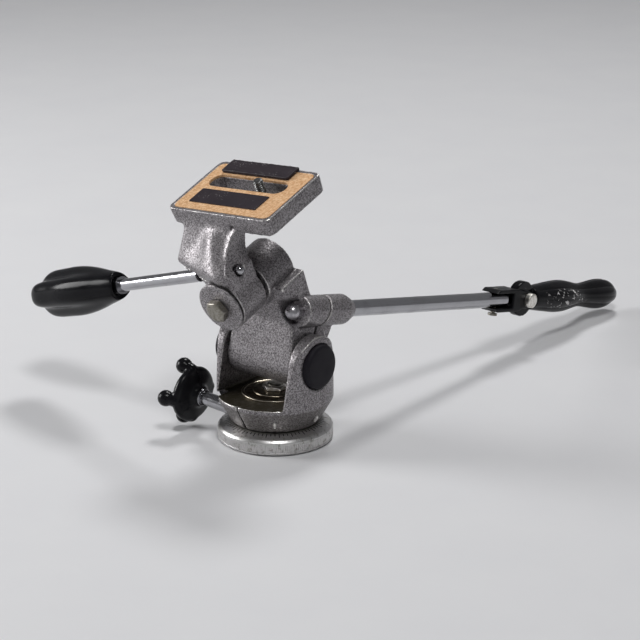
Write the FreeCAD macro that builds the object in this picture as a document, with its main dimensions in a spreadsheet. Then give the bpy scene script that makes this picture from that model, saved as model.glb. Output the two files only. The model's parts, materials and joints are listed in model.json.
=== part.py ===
"""Three way pan tilt head: a cast camera head with pan, fore-aft tilt and side tilt.

Every driving size is a cell of the sheet Sizes, in millimetres and degrees.  Each sub-part is an object of
its own, modelled in the frame that suits it and then placed:

    BASE      origin at the middle of the underside, +Z up, +X along the tilt axis, -Y the front
    TILT      on the tilt axis, pitched forward with the head
    CLAMP     on the tilt axis, +Y along the tilt handle, +Z up through its clamp
    PLATFORM  on the side tilt axis, +Y along that axis, +Z up to the camera plate
"""
import FreeCAD
import Part
import math
import os
import re
import Sketcher

from FreeCAD import Placement, Rotation, Vector

X_AXIS = Vector(1, 0, 0)
Y_AXIS = Vector(0, 1, 0)
Z_AXIS = Vector(0, 0, 1)

SIZES = [
    # running fits and gaps
    ("running_fit", 0.05),
    ("side_gap", 0.4),
    ("screw_clearance", 0.15),
    ("beyond", 1.0),
    ("hex_bevel", 1.0),
    # base disc
    ("disc_radius", 36.0),
    ("disc_foot_radius", 34.0),
    ("disc_foot_height", 2.0),
    ("disc_side_height", 8.2),
    ("disc_shoulder_radius", 34.6),
    ("disc_shoulder_height", 10.2),
    ("disc_top_height", 12.3),
    ("disc_shoulder_bend", 2.6),
    ("recess_radius", 29.0),
    ("recess_depth", 2.5),
    ("boss_radius", 13.0),
    ("tripod_bore_radius", 4.0),
    ("tripod_bore_depth", 11.0),
    ("tripod_mouth_radius", 4.9),
    # pan journal, post and nut
    ("journal_radius", 18.5),
    ("journal_top", 23.6),
    ("post_radius", 5.0),
    ("post_seat", 13.0),
    ("post_bevel", 0.8),
    ("post_stand", 0.6),
    ("friction_ring_thickness", 0.8),
    ("dish_radius", 21.0),
    ("dish_thickness", 1.1),
    ("dish_rise", 1.3),
    ("nut_flats", 14.6),
    ("nut_height", 2.9),
    ("nut_turn_angle", 33.0),
    # yoke
    ("cone_bottom_radius", 27.7),
    ("yoke_radius", 36.3),
    ("rim_height", 27.4),
    ("floor_height", 29.6),
    ("ear_gap_half", 26.4),
    ("ear_radius", 18.8),
    ("ear_taper_angle", 11.5),
    ("ear_flat_top", 34.6),
    ("cap_seat", 33.4),
    ("hub_lift", 2.75),
    ("pan_slit_width", 1.2),
    ("axle_radius", 7.0),
    ("side_washer_radius", 12.0),
    ("axle_screw_radius", 2.0),
    ("axle_screw_length", 12.0),
    ("axle_washer_height", 0.8),
    ("axle_screw_head_radius", 4.2),
    ("axle_screw_head_height", 1.6),
    ("cap_radius", 14.0),
    ("cap_height", 4.8),
    ("cap_bevel", 1.2),
    ("cap_wall", 1.6),
    # pan lock
    ("pan_screw_y", -23.6),
    ("pan_screw_z", 21.0),
    ("pan_rise_angle", 3.5),
    ("pan_rod_radius", 4.4),
    ("pan_thread_radius", 1.9),
    ("pan_thread_end", 8.0),
    ("pan_face", 20.5),
    ("pan_flat_reach", 7.0),
    ("pan_flat_half", 6.6),
    ("pan_knob_place", 47.5),
    ("pan_knob_radius", 18.0),
    ("pan_knob_thickness", 6.0),
    ("pan_knob_hub_radius", 9.0),
    ("pan_knob_neck_radius", 6.0),
    ("pan_knob_hub_length", 5.0),
    ("pan_knob_lobe_radius", 5.0),
    ("pan_knob_lobe_reach", 17.0),
    ("pan_knob_lobe_lift", 8.0),
    ("pan_knob_lobes", 4),
    ("pan_knob_round", 2.0),
    ("pan_knob_turn_angle", -2.0),
    # tilt casting
    ("pitch_angle", 20.8),
    ("hub_radius", 15.5),
    ("hub_side_gap", 0.9),
    ("clamp_lean_angle", 32.8),
    ("block_half", 22.6),
    ("block_depth", 22.0),
    ("block_top", 54.8),
    ("lateral_height", 57.5),
    ("drum_radius", 16.6),
    ("drum_front", -4.4),
    ("drum_back", 20.6),
    ("barrel_x", 22.0),
    ("barrel_rise", 32.0),
    ("barrel_radius", 9.6),
    ("barrel_front", -9.5),
    ("barrel_back", 31.0),
    ("nose_radius", 6.2),
    ("nose_back", 38.8),
    ("jaw_inner", 4.0),
    ("jaw_back", 24.0),
    ("jaw_shoulder", 20.0),
    ("jaw_lean_angle", 20.0),
    ("tilt_slit_angle", 16.0),
    ("tilt_slit_width", 1.5),
    ("ball_radius", 4.9),
    ("ball_place", -15.7),
    ("ball_stem_radius", 4.2),
    ("ball_pocket_radius", 7.4),
    ("handle_shoulder", 14.0),
    # side tilt spindle
    ("spindle_radius", 9.0),
    ("spindle_root", 14.0),
    ("end_disc_edge", 0.6),
    ("end_disc_radius", 16.2),
    ("end_disc_thickness", 1.8),
    ("end_disc_back", -29.9),
    ("bolt_flats", 13.0),
    ("bolt_head", 5.4),
    ("bolt_face", 0.6),
    ("bolt_radius", 3.0),
    ("bolt_turn_angle", 10.0),
    ("bolt_length", 16.0),
    # platform bracket and plate
    ("roll_angle", 4.75),
    ("collar_radius", 16.3),
    ("collar_front", -28.4),
    ("collar_back", -7.0),
    ("plate_width", 82.0),
    ("plate_length", 54.0),
    ("plate_front", -9.5),
    ("plate_top", 52.6),
    ("plate_thickness", 11.6),
    ("plate_draft_angle", 4.0),
    ("plate_inset", 0.8),
    ("plate_corner", 4.0),
    ("plate_skin", 4.6),
    ("slot_wall", 3.0),
    ("plate_rim", 4.0),
    ("pad_rim", 2.6),
    ("pad_depth", 1.6),
    ("pad_height", 1.5),
    ("hollow_front", 8.0),
    ("slot_width", 12.6),
    ("slot_left_margin", 8.7),
    ("slot_right_margin", 12.3),
    ("slot_middle", 24.0),
    ("strip_place", -3.0),
    ("strip_corner", 0.8),
    ("front_strip_place", 6.8),
    ("front_strip_width", 14.2),
    ("front_strip_length", 54.0),
    ("front_strip_height", 0.5),
    ("rear_strip_place", 38.2),
    ("rear_strip_width", 12.4),
    ("rear_strip_length", 54.0),
    ("rear_strip_height", 2.2),
    # platform neck
    ("neck_base", 22.3),
    ("neck_tip", 43.0),
    ("neck_top", 48.0),
    ("neck_left", -31.2),
    ("neck_right", 17.0),
    ("neck_top_front", -9.2),
    ("neck_top_back", 6.0),
    ("tip_place", -5.5),
    ("tip_half", 1.6),
    ("waist_x", 26.3),
    ("waist_z", 33.4),
    ("waist_radius", 17.7),
    ("lug_left", -38.0),
    ("lug_front", -19.4),
    ("crease_place", -30.5),
    ("crease_front", -21.7),
    ("ridge_place", 1.5),
    ("ridge_front", -32.0),
    ("ridge_round", 10.5),
    ("foot_right", 13.9),
    ("foot_front", -28.4),
    ("foot_edge", 0.4),
    ("neck_undercut", 8.0),
    ("lip_top", 21.4),
    ("lip_waist_x", -33.5),
    ("lip_waist_z", 14.5),
    ("lip_low_x", -20.0),
    ("lip_low_z", 8.5),
    ("disc_relief_gap", 1.2),
    ("bracket_slit_width", 1.4),
    ("bracket_slit_angle", 14.0),
    ("bracket_slit_offset", 8.6),
    # side tilt lock
    ("side_screw_y", -18.4),
    ("side_screw_x", 14.5),
    ("side_screw_z", 21.0),
    ("side_drop_angle", 13.8),
    ("side_screw_radius", 1.9),
    ("side_rod_radius", 4.0),
    ("side_shoulder", 38.0),
    ("side_nut_seat", 5.0),
    ("side_nut_place", 0.8),
    ("side_nut_hole_radius", 3.7),
    ("side_ball_radius", 2.9),
    ("side_stem_radius", 2.5),
    ("side_grip_start", 113.0),
    ("side_grip_length", 92.0),
    ("side_grip_radius", 17.6),
    ("side_groove", 5.0),
    ("side_grip_neck", 7.4),
    ("side_grip_turn_angle", -60.0),
    ("side_mouth_radius", 9.0),
    ("side_mouth_depth", 6.0),
    ("ferrule_radius", 5.6),
    ("ferrule_length", 6.0),
    # tilt lock handle
    ("handle_rod_radius", 5.2),
    ("handle_screw_radius", 3.2),
    ("knuckle_place", 233.0),
    ("knuckle_radius", 12.2),
    ("tongue_half", 3.0),
    ("tongue_shoulder", 10.0),
    ("fork_half", 7.0),
    ("fork_height", 7.7),
    ("fork_tail", 39.0),
    ("lug_radius", 6.0),
    ("rod_end_gap", 14.0),
    ("rod_taper", 8.0),
    ("knuckle_screw_place", 31.5),
    ("knuckle_screw_radius", 1.6),
    ("knuckle_screw_neck", 1.5),
    ("pin_radius", 2.6),
    ("pin_head_radius", 5.0),
    ("pin_head_height", 4.2),
    ("grip_length", 120.0),
    ("grip_radius", 11.4),
    ("grip_waist", 8.4),
    ("grip_end", 10.8),
    ("grip_groove", 1.6),
    # camera screw
    ("camera_screw_radius", 3.175),
    ("camera_screw_place", 7.3),
    ("camera_screw_rise", 3.9),
    ("camera_thread_end", 4.0),
    ("camera_shank_radius", 2.6),
    ("screw_bevel", 0.7),
    ("camera_washer_radius", 8.6),
    ("camera_washer_height", 1.2),
    ("camera_knob_radius", 9.0),
    ("camera_knob_height", 8.0),
]

# names that stand for expressions on the cells above, or on each other
DERIVED = {
    "cone_bottom": "disc_top_height + side_gap",
    "web_bottom": "journal_top + friction_ring_thickness + running_fit",
    "dish_bottom": "floor_height + running_fit",
    "nut_bottom": "dish_bottom + dish_thickness + dish_rise",
    "post_top": "nut_bottom + nut_height + post_stand",
    "tilt_height": "post_top + hub_lift + hub_radius",
    "ear_top": "tilt_height + ear_radius",
    "ear_foot_half": "ear_radius / cos(ear_taper_angle) + (tilt_height - floor_height) * tan(ear_taper_angle)",
    "hub_half": "ear_gap_half - hub_side_gap",
    "plate_bottom": "plate_top - plate_thickness",
    "slot_left": "slot_left_margin + slot_width / 2 - plate_width / 2",
    "slot_right": "plate_width / 2 - slot_width / 2 - slot_right_margin",
    "camera_washer_top": "-plate_thickness - running_fit",
    "camera_washer_bottom": "camera_washer_top - camera_washer_height",
}


# ---------------------------------------------------------------- sheet, frames and helpers

def make_sheet(document):
    sheet = document.addObject("Spreadsheet::Sheet", "Sizes")
    for row, (alias, value) in enumerate(SIZES, start=1):
        sheet.set(f"A{row}", alias)
        sheet.set(f"B{row}", str(value))
        sheet.setAlias(f"B{row}", alias)
    document.recompute()
    return sheet


doc = FreeCAD.newDocument("PanTiltHead")
sizes = make_sheet(doc)
asker = doc.addObject("App::FeaturePython", "Asker")
ALIASES = {alias for alias, _ in SIZES}
PARTS = []


def on_sheet(expression):
    """The expression with each name written as a cell of the sheet, or as the expression it stands for."""
    def written(word):
        if word[0] in DERIVED:
            return f"({on_sheet(DERIVED[word[0]])})"
        return f"Sizes.{word[0]}" if word[0] in ALIASES else word[0]

    return re.sub(r"[a-z_]*[a-z]", written, expression)


def size(expression):
    """The number that an expression gives, such as disc_radius - 2."""
    return float(asker.evalExpression(on_sheet(expression)))


def bind(item, **expressions):
    """Ties properties of an object to expressions on the sheet."""
    for name, expression in expressions.items():
        item.setExpression(name, on_sheet(expression))
    return item


BASE = Placement()
TILT = Placement(Vector(0, 0, size("tilt_height")), Rotation(X_AXIS, size("pitch_angle")))
CLAMP = TILT * Placement(Vector(), Rotation(X_AXIS, -size("clamp_lean_angle")))
LATERAL = TILT * Placement(Vector(0, 0, size("lateral_height")), Rotation())
PLATFORM = LATERAL * Placement(Vector(), Rotation(Y_AXIS, -size("roll_angle")))
# the three clamp screws, each with +Z along it, away from its nut
PAN_SCREW = Placement(
    Vector(0, size("pan_screw_y"), size("pan_screw_z")),
    Rotation(Y_AXIS, size("pan_rise_angle") - 90),
)
TILT_SCREW = CLAMP * Placement(
    Vector(size("barrel_x"), 0, size("barrel_rise")),
    Rotation(X_AXIS, -90),
)
SIDE_SCREW = PLATFORM * Placement(
    Vector(size("side_screw_x"), size("side_screw_y"), size("side_screw_z")),
    Rotation(Y_AXIS, -size("side_drop_angle") - 90),
)
# the side tilt spindle, with +Z along it to the front
SPINDLE = LATERAL * Placement(Vector(), Rotation(X_AXIS, 90))
# the folding hinge of the tilt handle, with +Z along the grip and +X along its pin
FOLD = TILT_SCREW * Placement(Vector(0, 0, size("knuckle_place")), Rotation())
# the camera screw, standing in its slot
CAMERA = PLATFORM * Placement(
    Vector(size("camera_screw_place"), size("slot_middle"), size("plate_top")),
    Rotation(),
)


def keep(item, label, placement):
    """Names a finished sub-part, puts it in its place and notes it for export."""
    item.Label = label
    item.Placement = placement
    PARTS.append(item)
    return item


def body(name):
    return doc.addObject("PartDesign::Body", name + "_body")


def sketch(owner, name, role, shift="0", turn="0", right="0", up="0"):
    """A sketch on an origin plane: shifted along +X, +Y or +Z, moved in the plane and turned in it."""
    drawing = owner.newObject("Sketcher::SketchObject", name)
    planes = [plane for plane in owner.Origin.OriginFeatures if plane.Role == role]
    drawing.AttachmentSupport = [(planes[0], "")]
    drawing.MapMode = "FlatFace"
    # the normal of the XZ plane points to -Y
    along = f"-({shift})" if role == "XZ_Plane" else shift
    drawing.AttachmentOffset = Placement(Vector(), Rotation(Z_AXIS, size(turn)))
    bind(drawing, **{
        "AttachmentOffset.Base.x": right,
        "AttachmentOffset.Base.y": up,
        "AttachmentOffset.Base.z": along,
    })
    return drawing


def pin_point(drawing, curve, end, x, y):
    """Holds one end of a curve at the place that two expressions give."""
    for kind, expression in (("DistanceX", x), ("DistanceY", y)):
        held = drawing.addConstraint(Sketcher.Constraint(kind, -1, 1, curve, end, size(expression)))
        drawing.setExpression(f"Constraints[{held}]", on_sheet(expression))


def arc_through(start, finish, radius):
    """A circular arc from start to finish: it bends to the left of that way, or right if radius < 0."""
    middle = (start + finish) * 0.5
    half = (finish - start) * 0.5
    rise = math.sqrt(max(0, radius * radius - half.Length * half.Length))
    side = Vector(-half.y, half.x, 0) * (rise / half.Length)
    centre = middle + side if radius > 0 else middle - side
    first, last = (start, finish) if radius > 0 else (finish, start)
    angles = [math.atan2(spoke.y, spoke.x) for spoke in (first - centre, last - centre)]
    return Part.ArcOfCircle(Part.Circle(centre, Z_AXIS, abs(radius)), angles[0], angles[1])


def outline(drawing, *corners):
    """A closed outline.  A corner is (x, y), or (x, y, radius) where an arc leads to it."""
    places = [Vector(size(corner[0]), size(corner[1]), 0) for corner in corners]
    curves = []
    for number, corner in enumerate(corners):
        start = places[number - 1]
        finish = places[number]
        if len(corner) == 3:
            radius = size(corner[2])
            curve = drawing.addGeometry(arc_through(start, finish, radius), False)
            held = drawing.addConstraint(Sketcher.Constraint("Radius", curve, abs(radius)))
            drawing.setExpression(f"Constraints[{held}]", on_sheet(f"abs({corner[2]})"))
            ends = (1, 2) if radius > 0 else (2, 1)
        else:
            curve = drawing.addGeometry(Part.LineSegment(start, finish), False)
            ends = (1, 2)
        pin_point(drawing, curve, ends[1], corner[0], corner[1])
        curves.append((curve, ends))
    for number, (curve, ends) in enumerate(curves):
        before, before_ends = curves[number - 1]
        drawing.addConstraint(Sketcher.Constraint("Coincident", before, before_ends[1], curve, ends[0]))
    return drawing


def box(drawing, left, bottom, right, top):
    """A rectangle between two corners."""
    return outline(drawing, (left, bottom), (right, bottom), (right, top), (left, top))


def circle(drawing, x, y, radius):
    curve = drawing.addGeometry(Part.Circle(Vector(size(x), size(y), 0), Z_AXIS, size(radius)), False)
    pin_point(drawing, curve, 3, x, y)
    held = drawing.addConstraint(Sketcher.Constraint("Radius", curve, size(radius)))
    drawing.setExpression(f"Constraints[{held}]", on_sheet(radius))
    return drawing


def level_axis(drawing, height):
    """A construction line across the sketch at a height, to turn a profile about."""
    return axis_line(drawing, ("0", height), ("disc_radius", height))


def axis_line(drawing, start, finish):
    """A construction line between two (x, y) places, for a profile to turn about."""
    ends = [Vector(size(x), size(y), 0) for x, y in (start, finish)]
    curve = drawing.addGeometry(Part.LineSegment(*ends), True)
    for end, (x, y) in enumerate((start, finish), start=1):
        pin_point(drawing, curve, end, x, y)
    return drawing


def extrude(owner, kind, drawing, length, both=False, taper=None):
    """A pad or pocket towards +X, +Y or +Z, or to both sides by half the length each."""
    feature = owner.newObject("PartDesign::" + kind, drawing.Name + "_" + kind.lower())
    feature.Profile = drawing
    feature.SideType = "Symmetric" if both else "One side"
    backwards = drawing.AttachmentSupport[0][0].Role == "XZ_Plane"
    feature.Reversed = backwards if kind == "Pad" else not backwards
    bind(feature, Length=length)
    if taper:
        bind(feature, TaperAngle=taper)
    drawing.Visibility = False
    owner.Tip = feature
    return feature


def pad(owner, drawing, length, both=False, taper=None):
    return extrude(owner, "Pad", drawing, length, both, taper)


def pocket(owner, drawing, length, both=False):
    return extrude(owner, "Pocket", drawing, length, both)


def turned(owner, kind, drawing, axis):
    """A full turn of a profile about the sketch's V_Axis, H_Axis or construction line."""
    feature = owner.newObject("PartDesign::" + kind, drawing.Name + "_" + kind.lower())
    feature.Profile = drawing
    feature.ReferenceAxis = (drawing, [axis])
    feature.Angle = 360
    owner.Tip = feature
    return feature


def revolve(owner, drawing, axis="V_Axis"):
    return turned(owner, "Revolution", drawing, axis)


def groove(owner, drawing, axis="V_Axis"):
    return turned(owner, "Groove", drawing, axis)


def turned_part(label, placement, *corners):
    """A piece turned about its own Z axis from one outline of (radius, height) corners."""
    piece = body(label)
    revolve(piece, outline(sketch(piece, label + "_profile", "XZ_Plane"), *corners))
    return keep(piece, label, placement)


# ---------------------------------------------------------------- base

def make_base_disc():
    """Turned disc with a graduated top, the journal that the yoke turns on and the tripod thread."""
    piece = body("base_disc")
    revolve(piece, outline(
        sketch(piece, "disc_profile", "XZ_Plane"),
        ("0", "post_seat"),
        ("0", "tripod_bore_depth"),
        ("tripod_bore_radius", "tripod_bore_depth"),
        ("tripod_bore_radius", "tripod_mouth_radius - tripod_bore_radius"),
        ("tripod_mouth_radius", "0"),
        ("boss_radius", "0"),
        ("boss_radius", "recess_depth"),
        ("recess_radius", "recess_depth"),
        ("recess_radius", "0"),
        ("disc_foot_radius", "0"),
        ("disc_radius", "disc_foot_height"),
        ("disc_radius", "disc_side_height"),
        ("disc_shoulder_radius", "disc_shoulder_height", "disc_shoulder_bend"),
        ("cone_bottom_radius", "disc_top_height"),
        ("journal_radius", "disc_top_height"),
        ("journal_radius", "journal_top"),
        ("post_radius", "journal_top"),
        ("post_radius", "post_seat"),
    ))
    keep(piece, "base_disc", BASE)


def make_pan_pivot():
    """The post in the disc, the ring under the yoke's web, and the spring and nut over its floor."""
    turned_part(
        "pan_post", BASE,
        ("0", "post_seat"),
        ("post_radius", "post_seat"),
        ("post_radius", "post_top - post_bevel"),
        ("post_radius - post_bevel", "post_top"),
        ("0", "post_top"),
    )
    turned_part(
        "pan_friction_ring", BASE,
        ("post_radius + running_fit", "journal_top"),
        ("journal_radius - side_gap", "journal_top"),
        ("journal_radius - side_gap", "journal_top + friction_ring_thickness"),
        ("post_radius + running_fit", "journal_top + friction_ring_thickness"),
    )
    turned_part(
        "pan_spring_washer", BASE,
        ("dish_radius", "dish_bottom"),
        ("dish_radius", "dish_bottom + dish_thickness"),
        ("nut_flats / 2", "dish_bottom + dish_thickness + dish_rise"),
        ("post_radius + running_fit", "dish_bottom + dish_thickness + dish_rise"),
        ("post_radius + running_fit", "dish_bottom + dish_rise"),
        ("nut_flats / 2", "dish_bottom + dish_rise"),
    )
    hex_piece("pan_nut", BASE, "nut_bottom", "nut_height", "nut_flats", "nut_turn_angle", "post_radius")


def hexagon(flats, turn):
    """The corners of a hexagon, as expressions."""
    corner = f"{flats} / 2 / cos(30)"
    return [(f"{corner} * cos({turn} + {60 * side})", f"{corner} * sin({turn} + {60 * side})")
            for side in range(6)]


def hex_piece(label, placement, bottom, height, flats, turn, bore):
    """A hexagon nut with its top corners turned off."""
    piece = body(label)
    ring = sketch(piece, label + "_hexagon", "XY_Plane", shift=bottom)
    outline(ring, *hexagon(flats, turn))
    circle(ring, "0", "0", bore)
    pad(piece, ring, height)
    chamfer_hexagon(piece, label, f"{bottom} + {height}", flats)
    return keep(piece, label, placement)


def chamfer_hexagon(piece, label, top, flats):
    """Turns a thirty degree bevel on the corners at the top of a hexagon."""
    groove(piece, outline(
        sketch(piece, label + "_bevel", "XZ_Plane"),
        (f"{flats} / 2 - hex_bevel", top),
        (f"{flats} / 2 + 2 * hex_bevel", f"{top} - 3 * hex_bevel * tan(30)"),
        (f"{flats} / 2 + 2 * hex_bevel", top),
    ))


# ---------------------------------------------------------------- yoke

def make_yoke():
    """Cast yoke: a split cone on the journal and two ears, all within one turned outline."""
    piece = body("pan_yoke")
    revolve(piece, outline(
        sketch(piece, "yoke_profile", "XZ_Plane"),
        ("journal_radius + running_fit", "cone_bottom"),
        ("cone_bottom_radius", "cone_bottom"),
        ("yoke_radius", "rim_height"),
        ("yoke_radius", "ear_top"),
        ("post_radius + running_fit", "ear_top"),
        ("post_radius + running_fit", "web_bottom"),
        ("journal_radius + running_fit", "web_bottom"),
    ))
    gap = sketch(piece, "ear_gap", "XZ_Plane")
    box(gap, "-ear_gap_half", "floor_height", "ear_gap_half", "ear_top + beyond")
    pocket(piece, gap, "2 * yoke_radius + beyond", both=True)
    sides = sketch(piece, "ear_sides", "YZ_Plane")
    outline(
        sides,
        ("-yoke_radius - beyond", "floor_height"),
        ("-ear_foot_half", "floor_height"),
        ("-ear_radius * cos(ear_taper_angle)", "tilt_height + ear_radius * sin(ear_taper_angle)"),
        ("ear_radius * cos(ear_taper_angle)", "tilt_height + ear_radius * sin(ear_taper_angle)", "-ear_radius"),
        ("ear_foot_half", "floor_height"),
        ("yoke_radius + beyond", "floor_height"),
        ("yoke_radius + beyond", "ear_top + beyond"),
        ("-yoke_radius - beyond", "ear_top + beyond"),
    )
    pocket(piece, sides, "2 * yoke_radius + beyond", both=True)
    flats = sketch(piece, "ear_flats", "XZ_Plane")
    for side in ("", "-"):
        outline(
            flats,
            (f"{side}ear_flat_top", "ear_top + beyond"),
            (f"{side}yoke_radius", "floor_height"),
            (f"{side}(yoke_radius + beyond)", "floor_height"),
            (f"{side}(yoke_radius + beyond)", "ear_top + beyond"),
        )
    pocket(piece, flats, "2 * yoke_radius", both=True)
    seats = level_axis(sketch(piece, "cap_seats", "XZ_Plane"), "tilt_height")
    for side in ("", "-"):
        box(seats, f"{side}cap_seat", "tilt_height", f"{side}(yoke_radius + beyond)",
            "tilt_height + cap_radius + side_gap")
    groove(piece, seats, "Axis0")
    pocket(piece, circle(sketch(piece, "axle_bore", "YZ_Plane"), "0", "tilt_height", "axle_radius"),
           "2 * yoke_radius + beyond", both=True)
    cut_pan_clamp(piece)
    keep(piece, "pan_yoke", BASE)


def cut_pan_clamp(piece):
    """The slit in the cone, and the screw's flat, hole and thread across it."""
    slit = sketch(piece, "pan_slit", "YZ_Plane")
    outline(
        slit,
        ("-yoke_radius - beyond", "cone_bottom - beyond"),
        ("-journal_radius", "cone_bottom - beyond"),
        ("-journal_radius", "web_bottom"),
        ("-yoke_radius", "floor_height + beyond"),
        ("-yoke_radius - beyond", "floor_height + beyond"),
    )
    pocket(piece, slit, "pan_slit_width", both=True)
    place = {"role": "XZ_Plane", "shift": "pan_screw_y", "up": "pan_screw_z", "turn": "-pan_rise_angle"}
    flat = sketch(piece, "pan_screw_flat", **place)
    box(flat, "-yoke_radius - beyond", "-pan_flat_reach", "-pan_face", "pan_flat_reach")
    pocket(piece, flat, "2 * pan_flat_half", both=True)
    for name, left, right, radius in (
        ("pan_screw_hole", "-pan_face - beyond", "0", "pan_rod_radius + screw_clearance"),
        ("pan_screw_thread", "-beyond", "pan_thread_end + beyond", "pan_thread_radius + screw_clearance"),
    ):
        groove(piece, box(sketch(piece, name, **place), left, "0", right, radius), "H_Axis")


def make_tilt_axle():
    """The axle across the ears, and at each end its thrust washer, screw, washer and cap."""
    turned_part(
        "tilt_axle", Placement(Vector(0, 0, size("tilt_height")), Rotation(Y_AXIS, 90)),
        ("0", "axle_screw_length - cap_seat"),
        ("axle_screw_radius", "axle_screw_length - cap_seat"),
        ("axle_screw_radius", "-cap_seat"),
        ("axle_radius", "-cap_seat"),
        ("axle_radius", "cap_seat"),
        ("axle_screw_radius", "cap_seat"),
        ("axle_screw_radius", "cap_seat - axle_screw_length"),
        ("0", "cap_seat - axle_screw_length"),
    )
    for side, way in (("right", 1), ("left", -1)):
        seat = Placement(Vector(way * size("cap_seat"), 0, size("tilt_height")), Rotation(Y_AXIS, way * 90))
        turned_part(
            f"tilt_washer_{side}", seat,
            ("axle_radius + running_fit", "hub_half - cap_seat + running_fit"),
            ("side_washer_radius", "hub_half - cap_seat + running_fit"),
            ("side_washer_radius", "ear_gap_half - cap_seat"),
            ("axle_radius + running_fit", "ear_gap_half - cap_seat"),
        )
        turned_part(
            f"axle_washer_{side}", seat,
            ("axle_screw_radius + screw_clearance", "0"),
            ("axle_radius + axle_washer_height", "0"),
            ("axle_radius + axle_washer_height", "axle_washer_height"),
            ("axle_screw_radius + screw_clearance", "axle_washer_height"),
        )
        turned_part(
            f"axle_screw_{side}", seat,
            ("0", "beyond - axle_screw_length"),
            ("axle_screw_radius", "beyond - axle_screw_length"),
            ("axle_screw_radius", "axle_washer_height"),
            ("axle_screw_head_radius", "axle_washer_height"),
            ("axle_screw_head_radius", "axle_washer_height + axle_screw_head_height"),
            ("0", "axle_washer_height + axle_screw_head_height"),
        )
        turned_part(
            f"ear_cap_{side}", seat,
            ("cap_radius - cap_wall", "0"),
            ("cap_radius", "0"),
            ("cap_radius", "cap_height - cap_bevel"),
            ("cap_radius - cap_bevel", "cap_height"),
            ("0", "cap_height"),
            ("0", "cap_height - cap_wall"),
            ("cap_radius - cap_wall", "cap_height - cap_wall"),
        )


# ---------------------------------------------------------------- pan lock

def make_pan_lock():
    """The screw across the slit of the cone and its lobed knob, turned about the screw's own axis."""
    turned_part(
        "pan_lock_rod", PAN_SCREW,
        ("0", "-pan_thread_end"),
        ("pan_thread_radius", "-pan_thread_end"),
        ("pan_thread_radius", "0"),
        ("pan_rod_radius", "0"),
        ("pan_rod_radius", "pan_knob_place"),
        ("0", "pan_knob_place"),
    )
    knob = body("pan_lock_knob")
    revolve(knob, outline(
        sketch(knob, "pan_knob_profile", "XZ_Plane"),
        ("pan_rod_radius", "pan_knob_place - pan_knob_hub_length - pan_knob_thickness / 2"),
        ("pan_knob_neck_radius", "pan_knob_place - pan_knob_hub_length - pan_knob_thickness / 2"),
        ("pan_knob_hub_radius", "pan_knob_place - pan_knob_thickness / 2", "pan_knob_hub_length"),
        ("pan_knob_radius - pan_knob_round", "pan_knob_place - pan_knob_thickness / 2"),
        ("pan_knob_radius", "pan_knob_place - pan_knob_thickness / 2 + pan_knob_round", "pan_knob_round"),
        ("pan_knob_radius", "pan_knob_place + pan_knob_thickness / 2 - pan_knob_round"),
        ("pan_knob_radius - pan_knob_round", "pan_knob_place + pan_knob_thickness / 2", "pan_knob_round"),
        ("0", "pan_knob_place + pan_knob_thickness / 2"),
        ("0", "pan_knob_place"),
        ("pan_rod_radius", "pan_knob_place"),
    ))
    lobe = sketch(knob, "pan_knob_lobe", "XZ_Plane")
    outline(
        lobe,
        ("pan_knob_lobe_reach", "pan_knob_place - pan_knob_thickness / 2"),
        ("pan_knob_lobe_reach + pan_knob_lobe_radius",
         "pan_knob_place - pan_knob_thickness / 2 + pan_knob_lobe_radius", "pan_knob_lobe_radius"),
        ("pan_knob_lobe_reach + pan_knob_lobe_radius", "pan_knob_place + pan_knob_lobe_lift"),
        ("pan_knob_lobe_reach", "pan_knob_place + pan_knob_lobe_lift + pan_knob_lobe_radius",
         "pan_knob_lobe_radius"),
    )
    axis_line(lobe, ("pan_knob_lobe_reach", "0"), ("pan_knob_lobe_reach", "pan_knob_place"))
    first = turned(knob, "Revolution", lobe, "Axis0")
    ring = knob.newObject("PartDesign::PolarPattern", "pan_knob_lobes_ring")
    ring.Originals = [first]
    ring.Axis = (lobe, ["V_Axis"])
    ring.Angle = 360
    bind(ring, Occurrences="pan_knob_lobes")
    knob.Tip = ring
    keep(knob, "pan_lock_knob", PAN_SCREW * Placement(Vector(), Rotation(Z_AXIS, size("pan_knob_turn_angle"))))


# ---------------------------------------------------------------- tilt casting

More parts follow.
